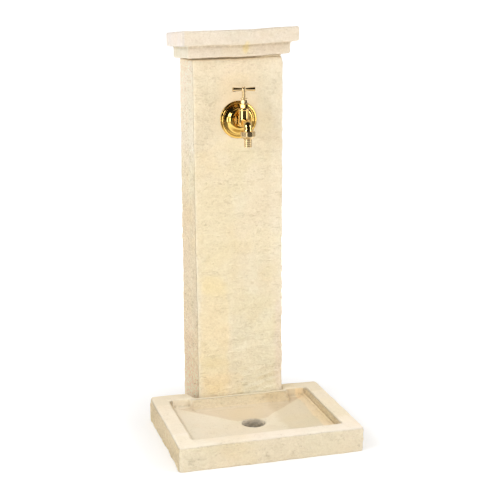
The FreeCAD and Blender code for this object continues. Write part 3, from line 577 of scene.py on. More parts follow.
def stone_finish(name, wisps, pits, relief, contrast):
    """Cast stone: the tint stored on the mesh, with speckle, pits and corners darkened as painted shade,
    wisps and pale worn edges.
    """
    finish, tree, shader = new_finish(name)
    rough = stored(tree, "rough")
    grain = placed_group(tree, GRAIN, Wisps=wisps, Pits=pits)
    tree.links.new(rough, grain.inputs["Rough"])
    edges = placed_group(tree, EDGES, Amount=1.0)
    speck = math_node(tree, "SUBTRACT", grain.outputs["Speckle"], MIDDLE_SPECKLE)
    swing = product(tree, speck, product(tree, rough, contrast))
    shade = [math_node(tree, "ADD", product(tree, swing, share), 1.0) for share in WARM_SWING]
    sand = add(tree, "ShaderNodeCombineColor", dict(enumerate(shade))).outputs[0]
    flecks = blended(tree, 0.13, sand, noise(tree, coordinates(tree), 62.0, 5.0, 0.7, out=1), "OVERLAY")
    colour = blended(tree, 1.0, stored(tree, "tint", "Color"), flecks, "MULTIPLY")
    # Painted shade darkens the pits and the creases; the wisps and the pale worn edges are the stone's own.
    for mask, shares, other in ((grain.outputs["Wisp Mask"], (rough, 0.2), WISP_BROWN),
                                (grain.outputs["Pit Mask"], (0.5,), PIT_SHADE_BROWN),
                                (edges.outputs["Dirt"], (0.85,), CREASE_SHADE_BROWN),
                                (edges.outputs["Worn"], (0.4,), WORN_CREAM)):
        colour = blended(tree, product(tree, mask, *shares), colour, other)
    tree.links.new(colour, shader.inputs["Base Color"])
    dry = ranged(tree, grain.outputs["Speckle"], 0.3, 0.7, 0.82, 0.97, "LINEAR")
    tree.links.new(dry, shader.inputs["Roughness"])
    shader.inputs["Specular IOR Level"].default_value = 0.25
    bumped(tree, shader, grain.outputs["Height"], relief)
    return finish


def metal_finish(name, colour, dull_colour, shine, dullest, marks, turning=0.0):
    """Metal that is clean in one colour and dull in another; turning shows the lines of a lathe."""
    finish, tree, shader = new_finish(name)
    signs = placed_group(tree, MARKS, Shine=shine, Dullest=dullest, Marks=marks, Turning=turning)
    metal = blended(tree, signs.outputs["Dull Mask"], colour, dull_colour)
    tree.links.new(metal, shader.inputs["Base Color"])
    tree.links.new(signs.outputs["Roughness"], shader.inputs["Roughness"])
    shader.inputs["Metallic"].default_value = 1.0
    bumped(tree, shader, signs.outputs["Height"], SCRATCH_DEPTH)
    return finish


def plain_finish(name, colour, other, scale, rough, relief):
    """Plastic, fibre and rubber: two close tones, an uneven sheen and a fine skin."""
    finish, tree, shader = new_finish(name)
    here = coordinates(tree)
    tone = noise(tree, here, scale, 5.0, 0.65)
    skin = noise(tree, here, scale * 9, 3.0, 0.5)
    tree.links.new(blended(tree, ranged(tree, tone, 0.35, 0.65), colour, other), shader.inputs["Base Color"])
    sheen = ranged(tree, tone, 0.3, 0.7, rough - 0.08, rough + 0.1, "LINEAR")
    tree.links.new(sheen, shader.inputs["Roughness"])
    bumped(tree, shader, skin, relief)
    return finish


def opaque(*colour):
    return (*colour, 1)


# Stone: wisps, pits, depth of the relief in metres and contrast of the speckle.
COLUMN_STONE = stone_finish("column_stone", 0.8, 0.35, 3.6 * MM, 0.62)
CAP_STONE = stone_finish("cap_stone", 0.35, 0.4, 4.2 * MM, 0.6)
TRAY_STONE = stone_finish("tray_stone", 0.7, 0.45, 4.2 * MM, 0.38)
MORTAR = stone_finish("mortar_sand", 0.0, 1.0, 1.4 * MM, 0.6)
# Metal: clean colour, dull colour, least and greatest roughness, marks and lines of turning.
POLISHED = metal_finish("polished_brass_skin", opaque(0.80, 0.53, 0.19), opaque(0.64, 0.41, 0.14),
                        0.04, 0.13, 0.35)
PRESSED = metal_finish("pressed_brass_skin", opaque(0.66, 0.42, 0.11), opaque(0.52, 0.32, 0.08),
                       0.09, 0.2, 0.4, 0.4)
SATIN = metal_finish("satin_brass_skin", opaque(0.70, 0.52, 0.28), opaque(0.52, 0.38, 0.2),
                     0.13, 0.3, 0.5, 0.5)
PLUMBING = metal_finish("plain_brass_skin", opaque(0.68, 0.5, 0.24), opaque(0.42, 0.3, 0.15),
                        0.3, 0.6, 0.9, 0.3)
COPPER = metal_finish("dulled_copper", opaque(0.72, 0.36, 0.2), opaque(0.33, 0.15, 0.09),
                      0.26, 0.6, 1.0, 0.2)
STEEL = metal_finish("bright_steel", opaque(0.62, 0.61, 0.58), opaque(0.42, 0.41, 0.39), 0.2, 0.45, 0.6)
# Plastic, fibre and rubber: two tones, how fine the skin is, its roughness and its depth in metres.
GREY_NYLON = plain_finish("grey_nylon", opaque(0.2, 0.2, 0.19), opaque(0.26, 0.26, 0.25),
                          90.0, 0.5, 0.05 * MM)
WHITE_NYLON = plain_finish("white_nylon", opaque(0.78, 0.77, 0.72), opaque(0.7, 0.68, 0.62),
                           90.0, 0.42, 0.05 * MM)
FIBRE = plain_finish("brown_fibre", opaque(0.10, 0.045, 0.025), opaque(0.15, 0.07, 0.04),
                     400.0, 0.75, 0.08 * MM)
PACKING = plain_finish("packing_yarn", opaque(0.62, 0.58, 0.48), opaque(0.5, 0.45, 0.35),
                       700.0, 0.85, 0.1 * MM)
RUBBER = plain_finish("black_rubber", opaque(*3 * (0.018,)), opaque(*3 * (0.03,)), 300.0, 0.62, 0.05 * MM)


# ---- Putting pieces on the frame ----------------------------------------------------------------------
def settle(name, mesh, node, finish, sharp, body=ROOT):
    """Makes a mesh a piece with its finish, rides it on its body and lets it stand for its CAD node."""
    piece = new_piece(name, mesh, sharp)
    piece.data.materials.clear()
    piece.data.materials.append(finish)
    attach(piece, body)
    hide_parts(node)


def keep(finish, *nodes):
    """CAD nodes whose shape is right get a finish only."""
    for node in nodes:
        for socket in NODES[node].material_slots:
            socket.material = finish


# ---- Stone --------------------------------------------------------------------------------------------
LEAN_COLUMN, LEAN_CAP = 0.021, 0.0245
CREAM = np.array((0.87, 0.735, 0.505))
DRAIN_Y = SPOUT_Y - 0.043
TRAY_TOP = high("tray").z


def bedding(co, lean, start, full):
    """Hand laying: the top of the stone rises a little to the right."""
    share = smooth_step(co[:, 2], start, full)
    co[:, 2] += lean * co[:, 0] * share - 0.0008 * share
    return co


def inside(value, lo, hi, soft):
    return smooth_step(value, lo - soft, lo + soft) * smooth_step(value, hi + soft, hi - soft)


CLOUDS = ((0.985, 0.96, 0.93), (1.0, 0.985, 0.93), (0.975, 0.99, 0.985), (1.015, 1.02, 1.04))


def clouded(at, patches, seed, size=0.07):
    """The cream tint with soft clouds, and patches (where, colour) let into it with ragged rims."""
    tint = np.ones((len(at), 1)) * CREAM
    for n, other in enumerate(CLOUDS):
        share = 0.75 * smooth_step(layered_noise(at, size, seed + 7 * n, 3), 0.0, 0.4)
        tint = tint * (1 + (np.array(other) - 1) * share[:, None])
    ragged = 0.55 + 0.9 * layered_noise(at, 0.03, seed + 50, 3)
    for share, other in patches:
        mask = smooth_step(share + 0.35 * (ragged - 0.5), 0.25, 0.75) * smooth_step(share, 0.0, 0.15)
        tint = tint * (1 + (np.array(other) - 1) * mask[:, None])
    return tint


# Sizes of the unevenness: where edges wear, chips, long waves, ripples and the sandy skin.
WEAR_SIZE, CHIP_SIZE, WAVE_SIZE, RIPPLE_SIZE, SKIN_SIZE = 0.05, 0.022, 0.11, 0.032, 0.013
SKIN_DEPTH, RIPPLE_SHARE = 0.0007, 0.55
ON_GROUND = 0.001


def worn_block(node, cell, rounding, waviness, seed, detail, chips=()):
    """A stone copy of a node: even cells, edges worn unevenly, faces wavy and rough.

    detail(co, at) gives the moved places, how freely the surface may wave, its roughness and its tint.
    """
    grounded = low(node).z < ON_GROUND
    mesh = remeshed(merged_copy(node), cell)
    start = places(mesh)
    crisp = relaxed(mesh, start, 1)
    worn = relaxed(mesh, crisp, rounding)
    chipped = relaxed(mesh, worn, rounding * 4)
    shift = worn - crisp
    set_places(mesh, crisp)
    bend = np.einsum("ij,ij->i", shift, outward(mesh)) / (cell * 0.3)
    share = 0.2 + 0.8 * smooth_step(layered_noise(crisp, WEAR_SIZE, seed, 3), -0.3, 0.4)
    if grounded:
        share = share * smooth_step(crisp[:, 2], ON_GROUND, 0.02)
    chip = 0.8 * smooth_step(layered_noise(crisp, CHIP_SIZE, seed + 5, 3), 0.34, 0.52) * share
    for centre, reach in chips:
        away = np.linalg.norm(crisp - np.array(centre), axis=1)
        chip = np.maximum(chip, smooth_step(away, reach, reach * 0.4))
    co = crisp + shift * share[:, None]
    co = co + (chipped - co) * chip[:, None]
    warp = np.stack([layered_noise(crisp, WAVE_SIZE, seed + 30 + k, 2) for k in range(3)], axis=1)
    ripple = np.stack([layered_noise(crisp, RIPPLE_SIZE, seed + 40 + k, 3) for k in range(3)], axis=1)
    co, hold, rough, tint = detail(co, crisp)
    co = co + (warp * waviness + ripple * waviness * RIPPLE_SHARE) * hold[:, None]
    set_places(mesh, co)
    skin = layered_noise(crisp, SKIN_SIZE, seed + 60, 3) * SKIN_DEPTH * np.minimum(rough, 1.0)
    co = co + outward(mesh) * skin[:, None]
    if grounded:
        co[:, 2] = np.where(start[:, 2] < ON_GROUND, 0.0, np.maximum(co[:, 2], 0.0003))
    set_places(mesh, co)
    # Convex places are stored for wear; concave places are stored for painted shade in the creases.
    for name, values in (("wear", np.clip(-bend, 0, 1)), ("crease_shading", np.clip(bend, 0, 1)), ("rough", rough)):
        mesh.attributes.new(name, "FLOAT", "POINT").data.foreach_set("value", values.astype(np.float32))
    rgba = np.concatenate([tint, np.ones((len(tint), 1))], axis=1).astype(np.float32)
    mesh.attributes.new("tint", "FLOAT_COLOR", "POINT").data.foreach_set("color", rgba.ravel())
    return mesh


# Clefts in the column's foot at the right: rise of the line, its slope, where it starts, and its drop.
CLEFTS = ((0.080, 0.26, 0.005, 2.6 * MM), (0.098, 0.22, 0.03, 2.0 * MM), (0.060, 0.34, -0.02, 1.4 * MM),
          (0.190, 0.30, 0.0, 1.1 * MM))
# Tints on the column's front: (left, right, soft), (low, high, soft) and the colour.
FRONT_TINTS = (
    ((-0.095, -0.03, 0.02), (0.06, 0.34, 0.05), (1.015, 0.985, 0.90)),
    ((-0.10, 0.0, 0.02), (0.0, 0.11, 0.03), (1.015, 0.975, 0.93)),
    ((-0.04, 0.05, 0.03), (0.72, 0.84, 0.04), (1.03, 1.005, 1.0)),
    ((0.085, 0.11, 0.012), (0.05, 0.28, 0.05), (0.985, 0.96, 1.01)),
    ((-0.02, 0.085, 0.03), (0.02, 0.30, 0.06), (0.98, 1.0, 1.0)),
    ((-0.10, -0.01, 0.03), (0.30, 0.56, 0.05), (1.0, 0.99, 0.945)),
    ((0.074, 0.11, 0.01), (0.25, 0.84, 0.05), (1.03, 1.04, 1.075)),
)
# The column's tone in red, green and blue at these heights, and how much paler its sides are painted than its
# front: painted light on the sides.
TONE_HEIGHTS = (0.05, 0.12, 0.3, 0.5, 0.75, 0.85)
TONES = ((1.08, 1.02, 0.925, 0.915, 0.95, 0.97), (1.13, 1.055, 0.95, 0.925, 0.95, 0.975),
         (1.20, 1.11, 0.99, 0.94, 0.955, 1.01))
FLANK_HEIGHTS, FLANK_PAINTED_LIGHT = (0.05, 0.2, 0.3, 0.5, 0.8), (0.22, 0.16, 0.12, 0.13, 0.18)
COLUMN_HALF = 0.104
BED_SIZE, BED_DEPTH = (0.11, 0.11, 0.016), 0.0006
CALM_RING = (0.044, 0.075)  # radii about the tap between which the split beds fade in


def column_detail(co, at):
    """Split beds across the faces, clefts low on the right, and a calm ring under the rosette."""
    x, y, z = at.T
    front = y < COLUMN_FRONT + 0.002
    side = (np.abs(x) > high("column").x - 0.002) & ~front
    drift = 0.010 * layered_noise(at, 0.08, 91, 2)
    beds = layered_noise(np.stack([x, y, z + drift], axis=1), BED_SIZE, 92, 3)
    depth = BED_DEPTH * (smooth_step(beds, -0.12, 0.12) - 0.5) + BED_DEPTH * beds
    for rise, slope, left, drop in CLEFTS:
        line = rise + slope * (x - 0.05) + 0.005 * layered_noise(at, 0.03, int(rise * 1000), 3)
        share = smooth_step(x, left - 0.015, left + 0.02)
        lip = smooth_step(z, line - 0.0016, line + 0.0016)
        depth = depth - drop * share * lip * smooth_step(z, line + 0.02, line + 0.004)
    hold = np.where(front, smooth_step(np.hypot(x, z - TAP_HEIGHT), *CALM_RING), 1.0)
    push = np.zeros_like(co)
    push[:, 1] = np.where(front, -depth, 0)
    push[:, 0] = np.where(side, np.sign(x) * depth * 0.6, 0)
    co = bedding(co + push * hold[:, None], LEAN_COLUMN, COLUMN_TOP - 0.16, COLUMN_TOP)
    co[:, 2] += 0.0022 * smooth_step(x, 0.02, COLUMN_HALF) * smooth_step(z, COLUMN_TOP - 0.1, COLUMN_TOP)
    forward = smooth_step(y, 0.19, COLUMN_FRONT) * (1 - z / COLUMN_TOP)
    co[:, 0] += forward * (0.0046 - 0.0012 * x / COLUMN_HALF)
    facing = smooth_step(y, COLUMN_FRONT + 0.004, COLUMN_FRONT)
    left = smooth_step(x, -0.100, -0.103) * (1 - facing)
    patches = [(inside(x, *across) * inside(z, *up) * facing, colour) for across, up, colour in FRONT_TINTS]
    # The left side is painted lighter and cooler high up and darker and warmer low down: painted light from a
    # high lamp at the left, and painted shade low down.
    patches += [
        (left * inside(z, 0.62, 0.9, 0.1), (1.03, 1.045, 1.14)),
        (left * inside(z, 0.0, 0.52, 0.12), (0.98, 0.925, 0.90)),
        (left * inside(y, COLUMN_FRONT, COLUMN_FRONT + 0.05, 0.02), (0.975, 0.995, 0.985)),
        (left * inside(z, 0.0, 0.2, 0.06), (0.965, 0.93, 0.90)),
    ]
    rough = np.where(front, 0.86, np.where(side, 2.5, 1.3))
    rough = rough * (0.8 + 0.35 * smooth_step(z, 0.4, 0.0)) * (0.4 + 0.6 * hold)
    tone = np.stack([np.interp(z, TONE_HEIGHTS, shades) for shades in TONES], axis=1)
    # The sides and back are painted paler than the front: painted light.
    flank_light = 1 + np.interp(z, FLANK_HEIGHTS, FLANK_PAINTED_LIGHT) * (1 - facing)
    return co, hold * 0.9 + 0.1, rough, clouded(at, patches, 301) * tone * flank_light[:, None]


def cap_detail(co, at):
    """The cap slopes up to the right, with one ochre stain and a greyer end."""
    x, y, z = at.T
    back = 0.02 * (y - COLUMN_FRONT)
    co[:, 2] += LEAN_CAP * x - 0.0008 - back + 0.0052 * smooth_step(x, 0.01, 0.15) ** 1.2
    co[:, 0] += 0.0020 * smooth_step(x, 0.08, 0.132) - 0.0028 * smooth_step(x, -0.08, -0.132)
    stain = np.exp(-(((x - 0.012) / 0.008) ** 2 + ((z - 0.862) / 0.016) ** 2)) * smooth_step(y, 0.09, 0.05)
    under = smooth_step(z, 0.872, 0.866)
    patches = [(stain, (1.02, 0.98, 0.72)), (under * 0.6, (0.985, 0.975, 0.96)),
               (smooth_step(x, -0.12, -0.131), (0.95, 0.98, 1.11)),
               (under * smooth_step(x, -0.112, -0.117), (0.88, 0.94, 0.97))]
    tint = clouded(at, patches, 401) * np.array((0.975, 0.99, 1.12))
    return co, np.ones(len(co)), np.full(len(co), 0.75), tint


def mortar_detail(co, at):
    """Raked out at the left and middle, and smeared flush at the right."""
    x, y, z = at.T
    co[:, 2] += LEAN_COLUMN * x - 0.0008 + 0.0024 * smooth_step(x, 0.02, COLUMN_HALF)
    flush = smooth_step(x, 0.035, 0.075) * smooth_step(y, COLUMN_FRONT + 0.02, COLUMN_FRONT + 0.008)
    co[:, 1] -= 0.0036 * flush
    sand = np.array((0.36, 0.27, 0.16)) * (1 + 0.3 * layered_noise(at, 0.012, 511, 3))[:, None]
    tint = sand + (CREAM - sand) * (0.85 * flush)[:, None]
    return co, np.full(len(co), 0.4), np.ones(len(co)), tint


def tray_detail(co, at):
    """Rims and basin nearly smooth and painted paler, with painted light and shade; outer faces rough, pitted
    and a little hollow.
    """
    x, y, z = at.T
    half, front, edge = high("tray").x, low("tray").y, 0.044
    basin = (np.abs(x) < half - edge) & (y > front + edge) & (z > 0.02) & (z < TRAY_TOP - 0.001)
    within, beyond = np.where(basin, 1.0, 0.0), np.where(basin, 0.0, 1.0)
    outer = smooth_step(z, TRAY_TOP - 0.001, TRAY_TOP - 0.006) * beyond
    relief = layered_noise(at, (0.04, 0.04, 0.014), 71, 4) + 0.5 * layered_noise(at, 0.012, 72, 3)
    push = np.zeros_like(co)
    for axis, face, sign in ((0, half, 1), (0, -half, -1), (1, front, -1)):
        near = outer * smooth_step(np.abs(at[:, axis] - face), 0.004, 0.001)
        push[:, axis] += sign * 0.0022 * relief * near
    push[:, 0] += np.where(x > 0, 0.0004, 0.0026) * x / half
    push[:, 1] -= 0.0026 * smooth_step(y, 0.0, front)
    drain = smooth_step(np.hypot(x, y - DRAIN_Y), 0.0275, 0.0262) * smooth_step(z, 0.0335, 0.0315)
    rim = (1 - outer) * beyond
    behind = y - DRAIN_Y
    shaded_triangle = inside(y, DRAIN_Y + 0.02, 0.06, 0.006) * within
    shaded_triangle = shaded_triangle * smooth_step(np.abs(x), 0.02 + behind * 1.3, behind * 1.3)
    right_wall = smooth_step(x, half - edge - 0.03, half - edge - 0.012) * within
    facing = outer * smooth_step(y, front + 0.006, front + 0.003)
    seat = inside(np.abs(x), -0.1, 0.115, 0.004) * smooth_step(y, 0.035, 0.045) * within
    patches = [
        # The rim, the basin and the front band of the top are painted paler and cooler: painted light from
        # above and the front.
        (rim, (1.07, 1.105, 1.24)),
        (0.9 * within, (1.02, 1.06, 1.175)),
        ((1 - outer) * smooth_step(y, -0.11, -0.15), (1.055, 1.065, 1.12)),
        # The back triangle and the right part of the basin floor, and the back of the rim, are painted
        # darker: painted shade on facets turned from the light and behind, under the column.
        (shaded_triangle, (0.90, 0.85, 0.79)),
        (smooth_step(x, 0.03, 0.09) * within, (0.91, 0.885, 0.84)),
        (rim * smooth_step(y, 0.03, 0.06), (0.94, 0.94, 0.92)),
        (right_wall, (1.18, 1.12, 1.03)),
        (seat, (1.13, 1.12, 1.06)),
        (outer * (1 - facing), (1.11, 1.06, 0.985)),
        (facing, (1.0, 1.01, 1.05)),
    ]
    tint = clouded(at, patches, 601, 0.09)
    # The drain hole's wall is painted darker grey-brown: painted shade in the hole.
    drain_shade = np.array((0.71, 0.61, 0.46)) * (1 + 0.35 * layered_noise(at, 0.006, 611, 2))[:, None]
    tint = tint + (drain_shade - tint) * drain[:, None]
    rough = 0.42 + 2.1 * outer * (1 - 0.71 * facing) + 0.6 * drain + 0.25 * right_wall + 0.9 * seat
    return co + push, np.where(basin, 0.25, 1.0), rough, tint


COLUMN_CHIPS = [((COLUMN_HALF, COLUMN_FRONT, COLUMN_TOP), 0.016), ((COLUMN_HALF, COLUMN_FRONT, 0.42), 0.008)]
# Each stone: its node, the size of its cells, rounds of wear, waviness, seed, detail and chips.
for name, node, finish, *block in (
        ("stone_column", "column", COLUMN_STONE, 3.0, 3, 0.8, 11, column_detail, COLUMN_CHIPS),
        ("stone_cap", "cap", CAP_STONE, 2.0, 4, 1.6, 23, cap_detail),
        ("stone_tray", "tray", TRAY_STONE, 2.2, 3, 1.3, 37, tray_detail),
        ("bedding_mortar", "mortar_bed", MORTAR, 1.2, 2, 0.8, 51, mortar_detail)):
    cell, rounds, waviness, *others = block
    settle(name, worn_block(node, cell * MM, rounds, waviness * MM, *others), node, finish, 180)


# ---- Tap ----------------------------------------------------------------------------------------------
THREAD, ROW, SCREWS = thread_tree(), row_tree(), screws_tree()
POINT = [(0, 0, 0)]
PIPE_PITCH = 1.814 * MM
UNION_ROOT = 12.62 * MM
BONNET_FLATS, BONNET_FACE, BONNET_BORE = 17 * MM, 8.2 * MM, 5.1 * MM
GLAND_FLATS, GLAND_FACE, GLAND_BORE = 13 * MM, 6.2 * MM, 5.45 * MM
UNION_FLATS, UNION_SIDES, UNION_FOOT = 30.6 * MM, 8, 11.4 * MM
UNION_BORE, UNION_MOUTH, UNION_SEAT = 9.66 * MM, 13.3 * MM, 12.6 * MM
PIPE_NUT_FLATS, PIPE_NUT_FACE = 24 * MM, 11.5 * MM
STEM_BORE = 4.05 * MM
SHEET, ROSETTE_HOLE = 1.2 * MM, 10.6 * MM


def thread(root, pitch, turns, ridge, where, finish):
    sizes = {"Root Radius": root, "Pitch": pitch, "Turns": turns, "Ridge": ridge, "Finish": finish}
    return moved(grown(THREAD, mesh_from(POINT, []), sizes), where)


def polished_cast(node, cell, rounds):
    """A cast and polished piece: the node's shape with its inner corners eased."""
    mesh = remeshed(merged_copy(node), cell)
    set_places(mesh, relaxed(mesh, places(mesh), rounds, 0.5, 0.51))
    return mesh


def over(parts, y):
    """Parts made about the origin's upright, joined and stood over a place on the centre plane."""
    return moved(joined(*parts), (0, y, 0))


def bend(a, via, b, steps=10):
    """Points of the arc through three corners."""
    (ax, ay), (bx, by), (cx, cy) = a, via, b
    d = 2 * (ax * (by - cy) + bx * (cy - ay) + cx * (ay - by))
    aa, bb, cc = ax**2 + ay**2, bx**2 + by**2, cx**2 + cy**2
    ux = (aa * (by - cy) + bb * (cy - ay) + cc * (ay - by)) / d
    uy = (aa * (cx - bx) + bb * (ax - cx) + cc * (bx - ax)) / d
    radius = math.hypot(ax - ux, ay - uy)
    first, mid, last = (math.atan2(y - uy, x - ux) for x, y in (a, via, b))
    turn = (last - first) % TURN
    if (mid - first) % TURN > turn:
        turn -= TURN
    angles = [first + turn * k / steps for k in range(1, steps)]
    return [(ux + radius * math.cos(angle), uy + radius * math.sin(angle)) for angle in angles]


def brass_rosette():
    """Pressed sheet: a rim with a bead, a step, a cove and a flat dome round the hole."""
    rim, top = (high("rosette").x - low("rosette").x) / 2, high("rosette").y - low("rosette").y

    def at(inset, height):
        return rim - inset * MM, height * MM

    dome = rim - 26 * MM
    outer = [at(0, 0), at(0, 1.5), at(0.35, 2.15), at(1.1, 2.4), at(4.0, 2.9)]
    outer += bend(at(4.2, 2.9), at(5.3, 4.0), at(6.4, 3.0), 8)
    outer += [at(6.4, 3.0), at(7.5, 3.1), at(7.8, 3.4), at(8.1, 5.3)]
    outer += bend(at(8.2, 5.6), at(13.1, 6.7), at(16.8, 9.6))
    outer += [at(16.8, 9.6)]
    outer += bend(at(16.8, 9.6), at(20.5, 12.7), (dome, top))
    outer += [(dome, top), (ROSETTE_HOLE + 0.3 * MM, top), (ROSETTE_HOLE, top - 0.3 * MM)]
    inner = [(ROSETTE_HOLE, top - SHEET), (dome, top - SHEET), at(17.8, 8.8), at(13.5, 5.5), at(9.5, 4.5),
             at(9.2, 1.9), at(1.2, 1.2), at(1.2, 0)]
    mesh = turned_piece(outer + inner, 160)
    return moved(mesh, (0, COLUMN_FRONT, TAP_HEIGHT), (0, -1, 0))


def cast_tap():
    """The cast body; its outlet is cut down to the root of the union's thread, and the ridge wound on."""
    body = polished_cast("tap_body", 0.44 * MM, 14)
    co = places(body)
    foot = low("tap_body").z
    shoulder = foot + 8.1 * MM
    out = np.hypot(co[:, 0], co[:, 1] - SPOUT_Y)
    cut = (co[:, 2] < shoulder) & (out > UNION_ROOT)
    for axis, centre in ((0, 0.0), (1, SPOUT_Y)):
        turned = centre + (co[:, axis] - centre) * UNION_ROOT / np.maximum(out, 1e-6)
        co[:, axis] = np.where(cut, turned, co[:, axis])
    set_places(body, co)
    turns = (shoulder - foot - 1.2 * MM) / PIPE_PITCH
    start = (0, SPOUT_Y, foot + 0.5 * MM)
    return joined(body, thread(UNION_ROOT, PIPE_PITCH, turns, 0.56 * MM, start, POLISHED))


def bonnet():
    z0, z1 = foot_and_top("bonnet")
    z_hex = high("bonnet_washer").z
    neck = [(STEM_BORE, z_hex + 0.008), (0.0054, z_hex + 0.008), (0.0054, z1), (STEM_BORE, z1)]
    skirt = [(0.00505, z0), (0.0084, z0), (0.009, z0 + 0.0006), (0.009, z_hex + 0.0002),
             (0.00505, z_hex + 0.0002)]
    return over((flat_sided(6, BONNET_FLATS, z_hex, z_hex + 0.009, BONNET_BORE, BONNET_FACE),
                 turned_piece(neck, 64, 0.0003), turned_piece(skirt, 96, 0.0002)), SPINDLE_Y)


def gland():
    """A small hexagon with a thin disc on top."""
    z0, z1 = foot_and_top("gland_nut")
    collar = [(STEM_BORE, z0 + 0.0069), (0.0052, z0 + 0.0069), (0.0056, z0 + 0.0084), (0.0054, z0 + 0.0098),
              (0.0058, z1 - 0.0017), (0.0081, z1 - 0.0014), (0.0082, z1 - 0.0007), (0.0079, z1 - 0.0002),
              (0.0058, z1), (STEM_BORE, z1)]
    return over((flat_sided(6, GLAND_FLATS, z0, z0 + 0.0084, GLAND_BORE, GLAND_FACE),
                 turned_piece(collar, 96, 0.0003)), SPINDLE_Y)


def spindle():
    z0, z1 = foot_and_top("spindle")
    rod = [(0.0026, z0), (0.0047, z0), (0.005, z0 + 0.0003), (0.005, z0 + 0.017), (0.004, z0 + 0.018),
           (0.004, z1 - 0.0084), (0.0038, z1 - 0.008), (0.0026, z1 - 0.008), (0.0026, z1), (0.00195, z1),
           (0.00195, z1 - 0.012), (0.0026, z1 - 0.03), (0.0026, z0 + 0.012)]
    return over((turned_piece(rod, 64, 0.0002),), SPINDLE_Y)


def domed_head(radius, height, slots, arm, width, depth, seat):
    """A screw head about +Z with straight slots, at these angles, let into its dome."""
    angles, steps = even_angles(72), 26

    def cut(x, y, turn):
        """How far the slot reaches here, from 0 outside it to 1 at its floor."""
        u, v = abs(x * math.cos(turn) + y * math.sin(turn)), abs(-x * math.sin(turn) + y * math.cos(turn))
        across, lengthwise = (width / 2 - v) / (0.12 * MM), (arm - u) / (0.3 * MM)
        return max(0.0, min(1.0, across)) * max(0.0, min(1.0, lengthwise))

    rings = [ring_at(seat, radius * 0.92, angles)]
    for n in range(steps, 0, -1):
        lean = n / steps * math.pi / 2
        rise = height * (0.35 + 0.65 * math.cos(lean) ** 0.8)
        level = ring_at(seat + rise, radius * math.sin(lean), angles)
        rings.append([(x, y, z - depth * max(cut(x, y, turn) for turn in slots)) for x, y, z in level])
    return rings_mesh(rings, False, ((0, 0, seat), (0, 0, seat + height - depth)))


def handle_set_screw():
    z0, z1 = foot_and_top("handle_screw")
    seat = z1 - 0.002
    shank = [(0, z0), (0.0016, z0), (0.0019, z0 + 0.0004), (0.0019, seat + 0.0003), (0, seat + 0.0003)]
    head = domed_head(0.0033, z1 - seat, (0.4,), 0.0034, 0.0008, 0.0009, seat)
    return over((head, turned_piece(shank, 32)), SPINDLE_Y)


def union_nut():
    """Eight flats in a band at the top, that taper to a round foot, with a stepped bore."""
    z0, z1 = foot_and_top("union_nut")
    band, seat = z1 - 0.0092, z1 - 0.0077
    corner, side = flat_radius(UNION_SIDES, UNION_FLATS, 0.992)
    angles = even_angles(UNION_SIDES * 24)
    full = corner + 0.003

    def ring(limit, h):
        return ring_at(h, lambda a: min(soft_least(side(a), limit, 0.1 * MM), limit), angles)

    rings = [ring_at(h, r, angles) for r, h in ((UNION_BORE, z0), (UNION_FOOT - 0.0006, z0),
                                                (UNION_FOOT - 0.0001, z0 + 0.0004))]
    for share in (k / 12 for k in range(13)):
        limit = UNION_FOOT + (corner + 0.0008 - UNION_FOOT) * share
        rings.append(ring(limit, z0 + 0.0006 + (band - z0 - 0.0004) * share))
    rings += [ring(full, band + 0.001), ring(full, z1 - 0.0016)]
    rings += [ring(corner + 0.0003 - 0.0019 * k / 6, z1 - 0.0012 + 0.0011 * k / 6) for k in range(7)]
    rings += [ring_at(h, r, angles) for r, h in (
        (0.0145, z1), (0.0137, z1 - 0.0006), (UNION_MOUTH, z1 - 0.0009), (UNION_MOUTH, seat),
        (UNION_SEAT, seat - 0.0002), (UNION_SEAT, seat - 0.0038), (UNION_BORE, seat - 0.0038))]
    return moved(rings_mesh(rings, True), (0, SPOUT_Y, 0))


def hose_tail():
    """A flanged stem with four barbs."""
    z0, z1 = foot_and_top("hose_tail")
    flange, neck, bore, barbs = z1 - 0.0018, z1 - 0.007, 0.0062, 4
    pitch, start = (neck - z0) / barbs, neck - 0.0008
    stem = [(bore, z1), (0.0123, z1), (0.0123, flange), (0.0095, flange), (0.0095, neck),
            (0.0083, neck - 0.0003), (0.0082, z0 + 0.0005), (0.0077, z0), (bore, z0)]
    barb = [(0.0070, start), (0.0081, start), (0.0087, start - 0.0002), (0.0088, start - 0.0005),
            (0.0083, start - pitch * 0.9), (0.0070, start - pitch * 0.9)]
    source = linked("barb_source", turned_piece(barb, 96, 0.00012))
    row = grown(ROW, mesh_from(POINT, []), {
        "Piece": source, "Count": barbs, "Step": (0.0, 0.0, -pitch), "Finish": SATIN})
    bpy.data.objects.remove(source)
    return over((turned_piece(stem, 96, 0.0002), row), SPOUT_Y)


HANDLE_BODY = "spindle_and_handle"
settle("cast_tap", cast_tap(), "tap_body", POLISHED, 60)
settle("pressed_rosette", brass_rosette(), "rosette", PRESSED, 60)
settle("tap_bonnet", bonnet(), "bonnet", POLISHED, 40)
settle("gland_cap", gland(), "gland_nut", SATIN, 40)
settle("turned_spindle", spindle(), "spindle", SATIN, 40, HANDLE_BODY)
settle("tee_handle", polished_cast("t_handle", 0.22 * MM, 10), "t_handle", SATIN, 60, HANDLE_BODY)
settle("handle_set_screw", handle_set_screw(), "handle_screw", SATIN, 35, HANDLE_BODY)
settle("hose_union_nut", union_nut(), "union_nut", SATIN, 40, "union_nut")
settle("barbed_hose_tail", hose_tail(), "hose_tail", SATIN, 40, "hose_tail_and_washer")


